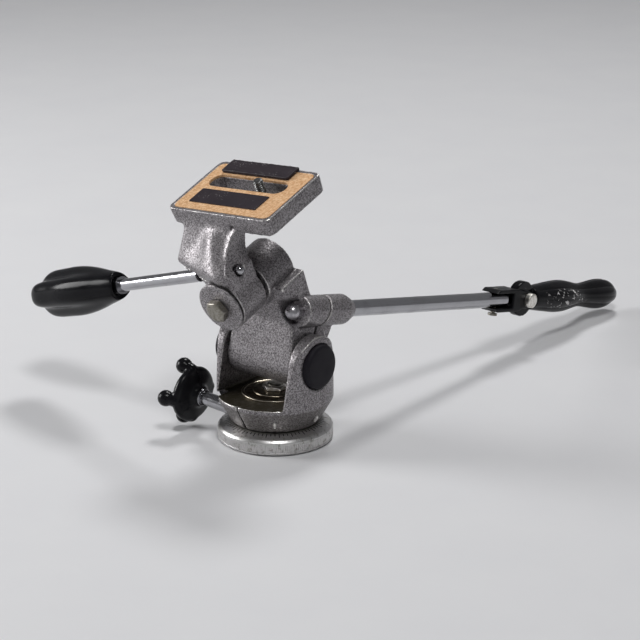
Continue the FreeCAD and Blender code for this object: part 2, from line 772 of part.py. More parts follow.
def make_tilt_casting():
    """Cast tilt body: hub on the axle, leaning front, block, side tilt drum and the split clamp barrel."""
    piece = body("tilt_casting")
    pad(piece, circle(sketch(piece, "hub", "YZ_Plane"), "0", "0", "hub_radius"), "2 * hub_half", both=True)
    # the front leans back from a tangent on the hub until it is upright over the axle
    block = sketch(piece, "block", "YZ_Plane")
    outline(
        block,
        ("0", "0"),
        ("0", "-hub_radius / 2"),
        ("-hub_radius * cos(clamp_lean_angle)", "hub_radius * sin(clamp_lean_angle)"),
        ("0", "hub_radius / sin(clamp_lean_angle)"),
        ("0", "block_top"),
        ("block_depth", "block_top"),
        ("block_depth", "0"),
    )
    pad(piece, block, "2 * hub_half", both=True)
    flanks = sketch(piece, "block_flanks", "XZ_Plane")
    for side in ("", "-"):
        outline(
            flanks,
            (f"{side}hub_half", "hub_radius * sin(clamp_lean_angle)"),
            (f"{side}(hub_half + beyond)", "hub_radius * sin(clamp_lean_angle)"),
            (f"{side}(hub_half + beyond)", "block_top + beyond"),
            (f"{side}block_half", "block_top + beyond"),
            (f"{side}block_half", "hub_radius / sin(clamp_lean_angle)"),
        )
    pocket(piece, flanks, "4 * hub_radius", both=True)
    jaw = sketch(piece, "jaw", "YZ_Plane", shift="jaw_inner", turn="-clamp_lean_angle")
    outline(
        jaw,
        ("0", "0"),
        ("hub_radius * cos(jaw_lean_angle)", "-hub_radius * sin(jaw_lean_angle)"),
        ("jaw_back", "jaw_shoulder"),
        ("jaw_back", "barrel_rise"),
        ("0", "barrel_rise"),
    )
    pad(piece, jaw, "block_half - jaw_inner")
    drum = circle(sketch(piece, "drum", "XZ_Plane", shift="drum_front"), "0", "lateral_height", "drum_radius")
    pad(piece, drum, "drum_back - drum_front")
    barrel = {"role": "YZ_Plane", "shift": "barrel_x", "turn": "-clamp_lean_angle"}
    revolve(piece, outline(
        level_axis(sketch(piece, "barrel", **barrel), "barrel_rise"),
        ("barrel_front", "barrel_rise"),
        ("barrel_front", "barrel_rise + barrel_radius"),
        ("barrel_back", "barrel_rise + barrel_radius"),
        ("nose_back", "barrel_rise + nose_radius"),
        ("nose_back", "barrel_rise"),
    ), "Axis0")
    for name, front, back, radius in (
        ("ball_pocket", "-2 * hub_radius", "barrel_front", "ball_pocket_radius"),
        ("screw_bore", "barrel_front - beyond", "handle_shoulder + beyond", "handle_screw_radius + screw_clearance"),
        ("rod_bore", "handle_shoulder - side_gap", "nose_back + beyond", "handle_rod_radius + screw_clearance"),
    ):
        bore = level_axis(sketch(piece, name, **barrel), "barrel_rise")
        groove(piece, box(bore, front, "barrel_rise", back, f"barrel_rise + {radius}"), "Axis0")
    bore = circle(sketch(piece, "axle_hole", "YZ_Plane"), "0", "0", "axle_radius + running_fit")
    pocket(piece, bore, "4 * hub_half", both=True)
    slit = sketch(piece, "tilt_slit", "YZ_Plane", turn="-clamp_lean_angle - tilt_slit_angle")
    box(slit, "-tilt_slit_width / 2", "0", "tilt_slit_width / 2", "2 * barrel_rise")
    pocket(piece, slit, "4 * hub_half", both=True)
    spindle = sketch(piece, "spindle_hole", "XZ_Plane", shift="drum_front - beyond")
    circle(spindle, "0", "lateral_height", "spindle_radius")
    pocket(piece, spindle, "spindle_root - drum_front + beyond")
    keep(piece, "tilt_casting", TILT)


def make_ball_nut(label, placement, seat, place, ball, stem, screw):
    """A ball-ended cap nut on a clamp screw: its stem stands on the seat, its ball round the place."""
    return turned_part(
        label, placement,
        (f"{screw} + screw_clearance", seat),
        (stem, seat),
        (stem, f"{place} + sqrt({ball} ^ 2 - {stem} ^ 2)"),
        ("0", f"{place} - {ball}", f"-{ball}"),
        ("0", f"{place} - {ball} / 2"),
        (f"{screw} + screw_clearance", f"{place} - {ball} / 2"),
    )


def make_side_tilt_spindle():
    """The spindle in the drum, and the disc and bolt that hold the bracket on it."""
    turned_part(
        "side_tilt_spindle", SPINDLE,
        ("0", "-spindle_root"),
        ("spindle_radius", "-spindle_root"),
        ("spindle_radius", "-end_disc_back"),
        ("bolt_radius", "-end_disc_back"),
        ("bolt_radius", "-end_disc_back - bolt_length"),
        ("0", "-end_disc_back - bolt_length"),
    )
    turned_part(
        "side_tilt_end_disc", SPINDLE,
        ("bolt_radius + screw_clearance", "-end_disc_back"),
        ("end_disc_radius", "-end_disc_back"),
        ("end_disc_radius", "-end_disc_back + end_disc_thickness - end_disc_edge"),
        ("end_disc_radius - end_disc_edge", "-end_disc_back + end_disc_thickness", "end_disc_edge"),
        ("bolt_radius + screw_clearance", "-end_disc_back + end_disc_thickness"),
    )
    bolt = body("side_tilt_bolt")
    face = "end_disc_thickness - end_disc_back"
    revolve(bolt, outline(
        sketch(bolt, "bolt_shank", "XZ_Plane"),
        ("0", "-end_disc_back - bolt_length + beyond"),
        ("bolt_radius", "-end_disc_back - bolt_length + beyond"),
        ("bolt_radius", face),
        ("bolt_flats / 2 - hex_bevel / 2", face),
        ("bolt_flats / 2 - hex_bevel / 2", f"{face} + bolt_face"),
        ("0", f"{face} + bolt_face"),
    ))
    head = sketch(bolt, "bolt_hexagon", "XY_Plane", shift=f"{face} + bolt_face")
    outline(head, *hexagon("bolt_flats", "bolt_turn_angle"))
    pad(bolt, head, "bolt_head - bolt_face")
    chamfer_hexagon(bolt, "side_tilt_bolt", f"{face} + bolt_head", "bolt_flats")
    keep(bolt, "side_tilt_bolt", SPINDLE)


# ---------------------------------------------------------------- platform bracket

def slab(drawing, left, front, right, back, corner):
    """A rectangle with round corners."""
    return outline(
        drawing,
        (f"{right} - {corner}", front),
        (right, f"{front} + {corner}", corner),
        (right, f"{back} - {corner}"),
        (f"{right} - {corner}", back, corner),
        (f"{left} + {corner}", back),
        (left, f"{back} - {corner}", corner),
        (left, f"{front} + {corner}"),
        (f"{left} + {corner}", front, corner),
    )


def plate_slab(drawing, inset, corner):
    """The plate's outline, drawn in by an inset."""
    return slab(
        drawing, f"{inset} - plate_width / 2", f"plate_front + {inset}",
        f"plate_width / 2 - ({inset})", f"plate_front + plate_length - ({inset})", corner,
    )


def slot_outline(drawing, wall):
    """The long hole that the camera screw slides along, made wider by a wall all round."""
    half = f"(slot_width / 2 + {wall})"
    return outline(
        drawing,
        ("slot_right", f"slot_middle - {half}"),
        (f"slot_right + {half}", "slot_middle", half),
        ("slot_right", f"slot_middle + {half}", half),
        ("slot_left", f"slot_middle + {half}"),
        (f"slot_left - {half}", "slot_middle", half),
        ("slot_left", f"slot_middle - {half}", half),
    )


def make_bracket():
    """Platform bracket, one casting: split collar on the spindle, ridged neck and camera plate."""
    piece = body("platform_bracket")
    make_neck(piece)
    collar = circle(sketch(piece, "collar", "XZ_Plane", shift="collar_front"), "0", "0", "collar_radius")
    pad(piece, collar, "collar_back - collar_front")
    slab_base = plate_slab(
        sketch(piece, "plate", "XY_Plane", shift="plate_bottom"), "plate_inset", "plate_corner")
    pad(piece, slab_base, "plate_thickness", taper="plate_draft_angle")
    cut_plate(piece)
    front = sketch(piece, "disc_relief", "YZ_Plane")
    box(front, "collar_front - collar_radius", "0", "collar_front", "end_disc_radius + disc_relief_gap")
    groove(piece, front, "H_Axis")
    hole = circle(sketch(piece, "collar_bore", "XZ_Plane", shift="collar_front - collar_radius"),
                  "0", "0", "spindle_radius + running_fit")
    pocket(piece, hole, "collar_back - collar_front + collar_radius + beyond")
    slit = sketch(piece, "bracket_slit", "XZ_Plane", turn="-bracket_slit_angle")
    box(slit, "3 * neck_left / 2", "bracket_slit_offset - bracket_slit_width / 2",
        "-spindle_radius / 2", "bracket_slit_offset + bracket_slit_width / 2")
    pocket(piece, slit, "4 * collar_radius", both=True)
    place = {"role": "XZ_Plane", "shift": "side_screw_y", "right": "side_screw_x", "up": "side_screw_z",
             "turn": "side_drop_angle"}
    for name, left, right, radius in (
        ("side_nut_hole", "-side_nut_seat", "collar_radius", "side_nut_hole_radius"),
        ("side_screw_hole", "-side_shoulder - beyond", "0", "side_screw_radius + screw_clearance"),
        ("side_rod_hole", "2 * neck_left", "side_gap - side_shoulder", "side_rod_radius + screw_clearance"),
    ):
        groove(piece, box(sketch(piece, name, **place), left, "0", right, radius), "H_Axis")
    keep(piece, "platform_bracket", PLATFORM)


def make_neck(piece):
    """The neck: it swells from a small tip under the plate to the clamp lug and the ridge over the collar."""
    neck = piece.newObject("PartDesign::AdditiveLoft", "neck")
    neck.Profile = neck_foot(sketch(piece, "neck_skirt", "XY_Plane"), "neck_undercut")
    neck.Sections = [
        neck_foot(sketch(piece, "neck_foot", "XY_Plane", shift="neck_base"), "0"),
        neck_head(sketch(piece, "neck_head", "XY_Plane", shift="neck_tip")),
    ]
    neck.Ruled = True
    piece.Tip = neck
    band = box(sketch(piece, "neck_band", "XY_Plane", shift="neck_tip"),
               "neck_left", "neck_top_front", "neck_right", "neck_top_back")
    pad(piece, band, "neck_top - neck_tip")
    waist = circle(sketch(piece, "waist", "XZ_Plane"), "waist_x", "waist_z", "waist_radius")
    pocket(piece, waist, "4 * collar_radius", both=True)
    lip = sketch(piece, "lip", "XZ_Plane")
    outline(
        lip,
        ("lug_left - beyond", "lip_top"),
        ("lug_left", "lip_top"),
        ("lip_waist_x", "lip_waist_z"),
        ("lip_low_x", "lip_low_z"),
        ("-collar_radius", "0"),
        ("-collar_radius", "-collar_radius"),
        ("lug_left - beyond", "-collar_radius"),
    )
    pocket(piece, lip, "4 * collar_radius", both=True)


def neck_foot(drawing, inward):
    """The neck's plan at its foot, a lug to the left and a round ridge, its front moved inward."""
    return outline(
        drawing,
        ("lug_left", f"lug_front + {inward}"),
        ("crease_place", f"crease_front + {inward}"),
        ("ridge_place", f"ridge_front + {inward}"),
        ("foot_right - foot_edge", f"foot_front - foot_edge + {inward}", "ridge_round"),
        ("foot_right", f"foot_front + {inward}"),
        ("foot_right", "collar_back"),
        ("lug_left", "collar_back"),
    )


def neck_head(drawing):
    """The neck's plan under the plate, where the ridge ends in a small round tip."""
    return outline(
        drawing,
        ("neck_left", "neck_top_front"),
        ("tip_place - tip_half", "neck_top_front"),
        ("tip_place", "neck_top_front - tip_half / 2"),
        ("tip_place + tip_half", "neck_top_front", "tip_half"),
        ("neck_right", "neck_top_front"),
        ("neck_right", "neck_top_back"),
        ("neck_left", "neck_top_back"),
    )


def cut_plate(piece):
    """The plate's pad recess, hollow underside and camera screw slot."""
    recess = sketch(piece, "pad_recess", "XY_Plane", shift="plate_top - pad_depth")
    plate_slab(recess, "pad_rim", "plate_corner")
    pocket(piece, recess, "pad_depth + beyond")
    hollow = sketch(piece, "hollow", "XY_Plane", shift="plate_bottom - beyond")
    slab(hollow, "plate_rim - plate_width / 2", "hollow_front", "plate_width / 2 - plate_rim",
         "plate_front + plate_length - plate_rim", "plate_corner")
    slot_outline(hollow, "slot_wall")
    pocket(piece, hollow, "plate_thickness - plate_skin + beyond")
    slot = slot_outline(sketch(piece, "slot", "XY_Plane", shift="plate_bottom - beyond"), "0")
    pocket(piece, slot, "plate_thickness + 2 * beyond")


def flat_piece(label, placement, bottom, height, draw):
    """A flat piece of even height from the outline that draw makes."""
    piece = body(label)
    drawing = sketch(piece, label + "_outline", "XY_Plane", shift=bottom)
    draw(drawing)
    pad(piece, drawing, height)
    return keep(piece, label, placement)


def make_platform_pads():
    """The cork in the plate's recess and the two strips on it."""
    def cork(drawing):
        plate_slab(drawing, "pad_rim + running_fit", "plate_corner")
        slot_outline(drawing, "0")

    flat_piece("cork_pad", PLATFORM, "plate_top - pad_depth", "pad_height", cork)
    for label, bottom, middle, width, length, height in (
        ("front_strip", "plate_top - pad_depth + pad_height", "front_strip_place", "front_strip_width",
         "front_strip_length", "front_strip_height"),
        ("rear_strip", "plate_top", "rear_strip_place", "rear_strip_width",
         "rear_strip_length", "rear_strip_height"),
    ):
        def strip(drawing):
            slab(drawing, f"strip_place - {length} / 2", f"{middle} - {width} / 2",
                 f"strip_place + {length} / 2", f"{middle} + {width} / 2", "strip_corner")

        flat_piece(label, PLATFORM, bottom, height, strip)


# ---------------------------------------------------------------- camera screw

def make_camera_screw():
    """The quarter inch camera screw on its shank, and the knob and washer that slide under the plate."""
    turned_part(
        "camera_screw", CAMERA,
        ("0", "camera_washer_bottom - camera_knob_height"),
        ("camera_shank_radius", "camera_washer_bottom - camera_knob_height"),
        ("camera_shank_radius", "-camera_thread_end"),
        ("camera_screw_radius", "-camera_thread_end"),
        ("camera_screw_radius", "camera_screw_rise - screw_bevel"),
        ("camera_screw_radius - screw_bevel", "camera_screw_rise"),
        ("0", "camera_screw_rise"),
    )
    turned_part(
        "camera_washer", CAMERA,
        ("camera_shank_radius + running_fit", "camera_washer_bottom"),
        ("camera_washer_radius", "camera_washer_bottom"),
        ("camera_washer_radius", "camera_washer_top"),
        ("camera_shank_radius + running_fit", "camera_washer_top"),
    )
    turned_part(
        "camera_knob", CAMERA,
        ("camera_shank_radius", "camera_washer_bottom - running_fit"),
        ("camera_shank_radius", "camera_washer_bottom - camera_knob_height"),
        ("camera_knob_radius", "camera_washer_bottom - camera_knob_height"),
        ("camera_knob_radius", "camera_washer_bottom - running_fit"),
    )


# ---------------------------------------------------------------- handles

def lobed_ring(reach, groove_depth, lobes, height):
    """A smooth closed curve round Z at a height: a circle drawn in between its lobes."""
    points = []
    for step in range(8 * lobes):
        angle = 2 * math.pi * step / (8 * lobes)
        dip = (0.5 - 0.5 * math.cos(lobes * angle)) ** 2
        away = reach - groove_depth * dip
        points.append(Vector(away * math.cos(angle), away * math.sin(angle), height))
    curve = Part.BSplineCurve()
    curve.interpolate(Points=points, PeriodicFlag=True)
    return Part.Wire([curve.toShape()])


def lobed_grip(sections, lobes):
    """A solid through sections of (height, reach, groove depth)."""
    rings = [lobed_ring(size(reach), size(depth), lobes, size(height)) for height, reach, depth in sections]
    return Part.makeLoft(rings, True)


def drum_along(axis, radius, start, finish, centre=Vector()):
    """A cylinder along an axis from start to finish."""
    return Part.makeCylinder(radius, finish - start, centre + axis * start, axis)


def make_side_handle():
    """The screwed rod across the bracket's slit, its ferrule and its three lobed grip."""
    turned_part(
        "side_handle_rod", SIDE_SCREW,
        ("0", "side_nut_place"),
        ("side_screw_radius", "side_nut_place"),
        ("side_screw_radius", "side_shoulder"),
        ("side_rod_radius", "side_shoulder"),
        ("side_rod_radius", "side_grip_start + side_grip_length / 2"),
        ("0", "side_grip_start + side_grip_length / 2"),
    )
    turned_part(
        "side_ferrule", SIDE_SCREW,
        ("side_rod_radius", "side_grip_start + side_mouth_depth - ferrule_length / 2"),
        ("ferrule_radius", "side_grip_start + side_mouth_depth - ferrule_length / 2"),
        ("ferrule_radius", "side_grip_start + side_mouth_depth + ferrule_length / 2"),
        ("side_rod_radius", "side_grip_start + side_mouth_depth + ferrule_length / 2"),
    )
    start = "side_grip_start"
    length = "side_grip_length"
    grip = lobed_grip((
        (start, "side_grip_neck", "0"),
        (f"{start} + 0.15 * {length}", "0.62 * side_grip_radius", "0.10 * side_groove"),
        (f"{start} + 0.35 * {length}", "0.86 * side_grip_radius", "0.50 * side_groove"),
        (f"{start} + 0.62 * {length}", "side_grip_radius", "side_groove"),
        (f"{start} + 0.84 * {length}", "0.97 * side_grip_radius", "1.10 * side_groove"),
        (f"{start} + 0.95 * {length}", "0.82 * side_grip_radius", "side_groove"),
        (f"{start} + {length}", "0.50 * side_grip_radius", "0.40 * side_groove"),
    ), 3)
    mouth = drum_along(Y_AXIS, size("side_mouth_radius"), -size(length), size(length),
                       Vector(0, 0, size(f"{start} + side_mouth_depth - side_mouth_radius")))
    bore = drum_along(Z_AXIS, size("side_rod_radius"), size(f"{start} - beyond"), size(f"{start} + {length} / 2"))
    seat = drum_along(Z_AXIS, size("ferrule_radius"), size(f"{start} - beyond"),
                      size(f"{start} + side_mouth_depth + ferrule_length / 2"))
    solid(
        "side_grip", grip.cut(Part.makeCompound([mouth, bore, seat])),
        SIDE_SCREW * Placement(Vector(), Rotation(Z_AXIS, size("side_grip_turn_angle"))),
    )


def solid(label, shape, placement):
    """A sub-part whose shape is made by Part's own functions, in its own frame."""
    feature = doc.addObject("Part::Feature", label + "_shape")
    feature.Shape = shape
    return keep(feature, label, placement)


def make_tilt_handle():
    """The screwed rod through the clamp barrel and the forked knuckle on its end."""
    turned_part(
        "tilt_handle_rod", TILT_SCREW,
        ("0", "ball_place"),
        ("handle_screw_radius", "ball_place"),
        ("handle_screw_radius", "handle_shoulder"),
        ("handle_rod_radius", "handle_shoulder"),
        ("handle_rod_radius", "knuckle_place - rod_end_gap - rod_taper"),
        ("0.6 * handle_rod_radius", "knuckle_place - rod_end_gap"),
        ("0", "knuckle_place - rod_end_gap"),
    )
    fork = body("handle_knuckle")
    side = sketch(fork, "fork_side", "YZ_Plane")
    outline(
        side,
        ("-fork_height", "-fork_tail + fork_height / 2"),
        ("-handle_rod_radius", "-fork_tail"),
        ("handle_rod_radius", "-fork_tail"),
        ("fork_height", "-fork_tail + fork_height / 2"),
        ("fork_height", "-knuckle_radius - side_gap"),
        ("lug_radius", "-lug_radius"),
        ("lug_radius", "0"),
        ("0", "lug_radius", "lug_radius"),
        ("-lug_radius", "0", "lug_radius"),
        ("-lug_radius", "-lug_radius"),
        ("-fork_height", "-knuckle_radius - side_gap"),
    )
    pad(fork, side, "2 * fork_half", both=True)
    tongue = sketch(fork, "tongue_gap", "XZ_Plane")
    box(tongue, "-tongue_half - side_gap", "-knuckle_radius - side_gap", "tongue_half + side_gap",
        "knuckle_radius")
    pocket(fork, tongue, "4 * fork_height", both=True)
    jaws = sketch(fork, "rod_jaws", "YZ_Plane")
    box(jaws, "-handle_rod_radius", "-fork_tail - beyond", "handle_rod_radius", "-rod_end_gap - rod_taper / 2")
    pocket(fork, jaws, "4 * fork_half", both=True)
    socket = sketch(fork, "rod_socket", "XZ_Plane")
    box(socket, "0", "-fork_tail", "handle_rod_radius", "-rod_end_gap")
    groove(fork, socket)
    pin = circle(sketch(fork, "fork_pin_hole", "YZ_Plane"), "0", "0", "pin_radius")
    pocket(fork, pin, "4 * fork_half", both=True)
    cross = circle(sketch(fork, "fork_screw_hole", "XZ_Plane"), "0", "-knuckle_screw_place", "knuckle_screw_radius")
    pocket(fork, cross, "4 * fork_height", both=True)
    keep(fork, "handle_knuckle", FOLD)
    # the rod is drilled across for the knuckle's screw
    rod = doc.getObject("tilt_handle_rod_body")
    place = {"role": "XZ_Plane", "up": "knuckle_place - knuckle_screw_place"}
    drill = circle(sketch(rod, "rod_cross_hole", **place), "0", "0", "knuckle_screw_radius")
    pocket(rod, drill, "4 * handle_rod_radius", both=True)
    down = FOLD * Placement(Vector(0, 0, -size("knuckle_screw_place")), Rotation(X_AXIS, -90))
    turned_part(
        "knuckle_screw", down,
        ("0", "-fork_height"),
        ("knuckle_screw_radius", "-fork_height"),
        ("knuckle_screw_radius", "fork_height + knuckle_screw_neck"),
        ("2 * knuckle_screw_radius", "fork_height + knuckle_screw_neck"),
        ("2 * knuckle_screw_radius", "fork_height + 2 * knuckle_screw_neck"),
        ("0", "fork_height + 2 * knuckle_screw_neck"),
    )
    across = FOLD * Placement(Vector(), Rotation(Y_AXIS, 90))
    turned_part(
        "fold_pin", across,
        ("0", "-fork_half"),
        ("pin_radius", "-fork_half"),
        ("pin_radius", "fork_half"),
        ("pin_head_radius", "fork_half"),
        ("pin_head_radius", "fork_half + pin_head_height"),
        ("0", "fork_half + pin_head_height"),
    )


def make_folding_grip():
    """The four lobed grip and the round tongue that it folds on."""
    length = "grip_length"
    grip = lobed_grip((
        ("tongue_shoulder", "0.72 * grip_radius", "0"),
        (f"0.22 * {length}", "0.88 * grip_radius", "0.3 * grip_groove"),
        (f"0.38 * {length}", "grip_radius", "0.8 * grip_groove"),
        (f"0.48 * {length}", "0.92 * grip_radius", "grip_groove"),
        (f"0.60 * {length}", "grip_waist", "0.6 * grip_groove"),
        (f"0.72 * {length}", "0.90 * grip_end", "grip_groove"),
        (f"0.84 * {length}", "grip_end", "grip_groove"),
        (f"0.94 * {length}", "0.82 * grip_end", "0.5 * grip_groove"),
        (length, "0.40 * grip_end", "0"),
    ), 4)
    half = size("tongue_half")
    disc = drum_along(X_AXIS, size("knuckle_radius"), -half, half)
    web = Part.makeBox(2 * half, 2 * half, size("2 * tongue_shoulder"), Vector(-half, -half, 0))
    pin = drum_along(X_AXIS, size("pin_radius + running_fit"), -2 * half, 2 * half)
    solid("folding_grip", disc.fuse([web, grip]).cut(pin), FOLD)


# ---------------------------------------------------------------- build, check and export

def main():
    make_base_disc()
    make_pan_pivot()
    make_yoke()
    make_tilt_axle()
    make_pan_lock()
    make_tilt_casting()
    make_ball_nut("tilt_ball_nut", TILT_SCREW, "barrel_front", "ball_place", "ball_radius",
                  "ball_stem_radius", "handle_screw_radius")
    make_side_tilt_spindle()
    make_bracket()
    make_ball_nut("side_ball_nut", SIDE_SCREW, "side_nut_seat", "side_nut_place", "side_ball_radius",
                  "side_stem_radius", "side_screw_radius")
    make_platform_pads()
    make_camera_screw()
    make_side_handle()
    make_tilt_handle()
    make_folding_grip()
    doc.recompute()
    failed = [item.Name for item in doc.Objects if {"Invalid", "Error"} & set(item.State)]
    if failed:
        raise RuntimeError("failed features: " + ", ".join(failed))
    os.makedirs("parts", exist_ok=True)
    for part in PARTS:
        if part.Shape.isNull() or not part.Shape.isValid():
            raise RuntimeError(part.Label + " has no valid shape")
        if len(part.Shape.Solids) != 1:
            raise RuntimeError(f"{part.Label} has {len(part.Shape.Solids)} solids")
        print(f"{part.Label:24s} {part.Shape.Volume:12.1f} mm3")
    for part in PARTS:
        part.Shape.exportStep(f"parts/{part.Label}.step")


main()
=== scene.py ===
# %% [markdown]
# # A cast metal pan and tilt head
# This lesson dresses a camera head for a tripod: a base that turns, a yoke that the head tilts in, a bracket
# that leans sideways and a cork faced plate.  The solids and their joints come from the frame, which never
# moves, so every piece made here is placed from the sizes of the frame and rides on one of its bodies.

import json
import math

import bmesh
import bpy
import numpy as np
from mathutils import Matrix, Vector

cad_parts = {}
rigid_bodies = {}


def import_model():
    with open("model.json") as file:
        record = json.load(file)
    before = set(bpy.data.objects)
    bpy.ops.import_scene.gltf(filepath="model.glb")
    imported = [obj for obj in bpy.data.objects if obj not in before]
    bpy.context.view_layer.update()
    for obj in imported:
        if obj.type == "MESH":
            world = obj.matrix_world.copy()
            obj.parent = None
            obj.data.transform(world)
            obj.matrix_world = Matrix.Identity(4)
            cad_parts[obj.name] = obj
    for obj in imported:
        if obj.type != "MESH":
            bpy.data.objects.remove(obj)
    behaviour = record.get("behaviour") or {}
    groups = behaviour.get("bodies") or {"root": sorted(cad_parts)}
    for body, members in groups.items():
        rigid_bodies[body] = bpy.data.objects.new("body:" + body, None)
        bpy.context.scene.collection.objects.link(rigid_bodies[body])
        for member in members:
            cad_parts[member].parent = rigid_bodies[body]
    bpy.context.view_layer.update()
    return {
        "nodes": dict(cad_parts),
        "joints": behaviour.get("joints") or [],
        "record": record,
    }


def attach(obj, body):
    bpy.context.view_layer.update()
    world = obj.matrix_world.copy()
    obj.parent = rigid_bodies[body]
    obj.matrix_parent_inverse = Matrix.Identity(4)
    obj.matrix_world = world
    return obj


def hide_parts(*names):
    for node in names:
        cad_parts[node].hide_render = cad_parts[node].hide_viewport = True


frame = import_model()
MM = 0.001
scene = bpy.context.scene

# %% [markdown]
# ## The camera
# A long lens from far away keeps the plate, the yoke and the two handles in their true proportions, which a
# wide lens close up would stretch.  The camera looks down a little and from the front right.  Its rotation
# is written as three directions, right, up and back, because those are easy to measure and to check.

# %% Place the camera
AZIMUTH = math.radians(39.338)
ELEVATION = math.radians(18.341)
CAMERA_SPOT = (0.86855, -1.01582, 0.51925)
SENSOR = 36
FOCAL_LENGTH = 128.906

right = Vector((math.cos(AZIMUTH), math.sin(AZIMUTH), 0))
back = Vector((
    math.sin(AZIMUTH) * math.cos(ELEVATION),
    -math.cos(AZIMUTH) * math.cos(ELEVATION),
    math.sin(ELEVATION),
))
up = back.cross(right)
lens = bpy.data.cameras.new("camera")
lens.sensor_width = SENSOR
lens.lens = FOCAL_LENGTH
lens.clip_start = 0.05
camera = bpy.data.objects.new("camera", lens)
facing = Matrix((right, up, back)).transposed().to_4x4()
camera.matrix_world = Matrix.Translation(CAMERA_SPOT) @ facing
scene.collection.objects.link(camera)
scene.camera = camera
print("camera", tuple(round(value, 3) for value in camera.location))

# %% [markdown]
# ## A short way to write nodes
# Every finish below is a small tree of shader nodes.  Nodes can be placed by hand in the shader editor, but
# then nobody sees why a value was chosen.  The helper adds one node, sets the values that are numbers and
# links the ones that come from another node, so that a finish reads from top to bottom like a recipe.

# %% Node helpers
def add(tree, kind, output=0, **values):
    """One node and one of its outputs; the letters a, b and c stand for its first three inputs."""
    item = tree.nodes.new("ShaderNode" + kind)
    for name, value in values.items():
        place = "abc".find(name) if len(name) == 1 else name.replace("_", " ")
        if isinstance(place, str) and place not in item.inputs:
            setattr(item, name, value)
        elif isinstance(value, bpy.types.NodeSocket):
            tree.links.new(value, item.inputs[place])
        else:
            item.inputs[place].default_value = value
    return item.outputs[output]


def calculate(tree, operation, a, b=0.0):
    """One step of arithmetic on one or two values."""
    return add(tree, "Math", operation=operation, a=a, b=b)


def span(tree, value, low, high, start=0.0, end=1.0):
    """A soft step: start where the value is low, end where it is high."""
    return add(tree, "MapRange", interpolation_type="SMOOTHSTEP", Value=value, From_Min=low, From_Max=high,
               To_Min=start, To_Max=end)


def mix(tree, share, first, second):
    """The first colour where the share is 0, the second where it is 1."""
    return add(tree, "MixRGB", Fac=share, Color1=first, Color2=second)


def give(tree, shader, **sockets):
    """Links values to the shader's inputs."""
    for name, value in sockets.items():
        tree.links.new(value, shader.inputs[name.replace("_", " ")])


print("node helpers:", ", ".join(item.__name__ for item in (add, calculate, span, mix, give)))

# %% [markdown]
# ## Grain, dents and an empty finish
# No real surface is even.  Most of them vary in clouds or in round cells, and either can be drawn out one way
# like brushed metal.  An image could hold such grain, but a formula has no seams and stays sharp close up.
# Bump only turns the light, so it is right for marks that are too shallow to show in an outline.  Sizes of
# grains and dents are given in millimetres, as one would measure them on the real metal.

# %% Grain helpers
def noise(tree, where, grain, detail=3.0, rough=0.55):
    """A cloudy value between 0 and 1 with patches about one grain wide, in millimetres."""
    return add(tree, "TexNoise", Vector=where, Scale=1 / (grain * MM), Detail=detail, Roughness=rough)


def cells(tree, where, grain):
    """The distance from the middle of the nearest cell, flowing from one to the next, one grain wide."""
    return add(tree, "TexVoronoi", Vector=where, Scale=1 / (grain * MM), feature="SMOOTH_F1")


def stretched(tree, where, across):
    """The same place measured with other units along X, Y and Z, for grain that runs one way."""
    return add(tree, "Mapping", Vector=where, Scale=across)


def dents(tree, shader, height, depth, under=None):
    """Raises the surface by the height, which is 0 to 1, times a depth in millimetres."""
    more = {"Normal": under} if under else {}
    bumped = add(tree, "Bump", Height=height, Distance=depth * MM, Strength=1.0, **more)
    tree.links.new(bumped, shader.inputs["Normal"])
    return bumped


def new_finish(name, metallic=0.0, roughness=0.4):
    """An empty finish: its tree, its shader and the place on the object that its grain is measured from."""
    material = bpy.data.materials.new(name)
    material.use_nodes = True
    shader = material.node_tree.nodes["Principled BSDF"]
    shader.inputs["Metallic"].default_value = metallic
    shader.inputs["Roughness"].default_value = roughness
    where = add(material.node_tree, "TexCoord", output="Object")
    return material, material.node_tree, shader, where


print("grain helpers:", ", ".join(item.__name__ for item in (noise, cells, stretched, dents, new_finish)))

# %% [markdown]
# ## Hammered paint
# The castings wear a silver grey paint that shrinks into small dimples as it dries, with dark specks between
# them where the metal flake has drifted apart.  Cells a millimetre and a half wide give the dimples, a finer
# noise gives the specks and a slow one makes patches that are a little lighter or darker.  Further down every
# casting gets a value called edge, which is above zero on its ridges and below zero in its corners.  Handling
# rubs the ridges down to bare metal, and the corners get painted shade, a darker colour where light reaches
# less, so this one value places both.

# %% Mix the hammered paint
SILVER = (0.44, 0.42, 0.43, 1)
SHADE = (0.12, 0.108, 0.115, 1)
# the dark of the specks, which also darkens the corners as painted shade
SPECK_AND_SHADE = (0.030, 0.024, 0.027, 1)
BARE = (0.66, 0.645, 0.62, 1)
OIL_AND_SHADE = (0.055, 0.046, 0.028, 1)
# widths of the grains, in millimetres
DIMPLE = 1.6
FLAKE = 1.0
FLECK = 0.7
CHIP = 2.4
CLOUD = 15.0
# how much of a metal the paint and the bare casting under it are
PAINTED = 0.62
RUBBED = 0.9


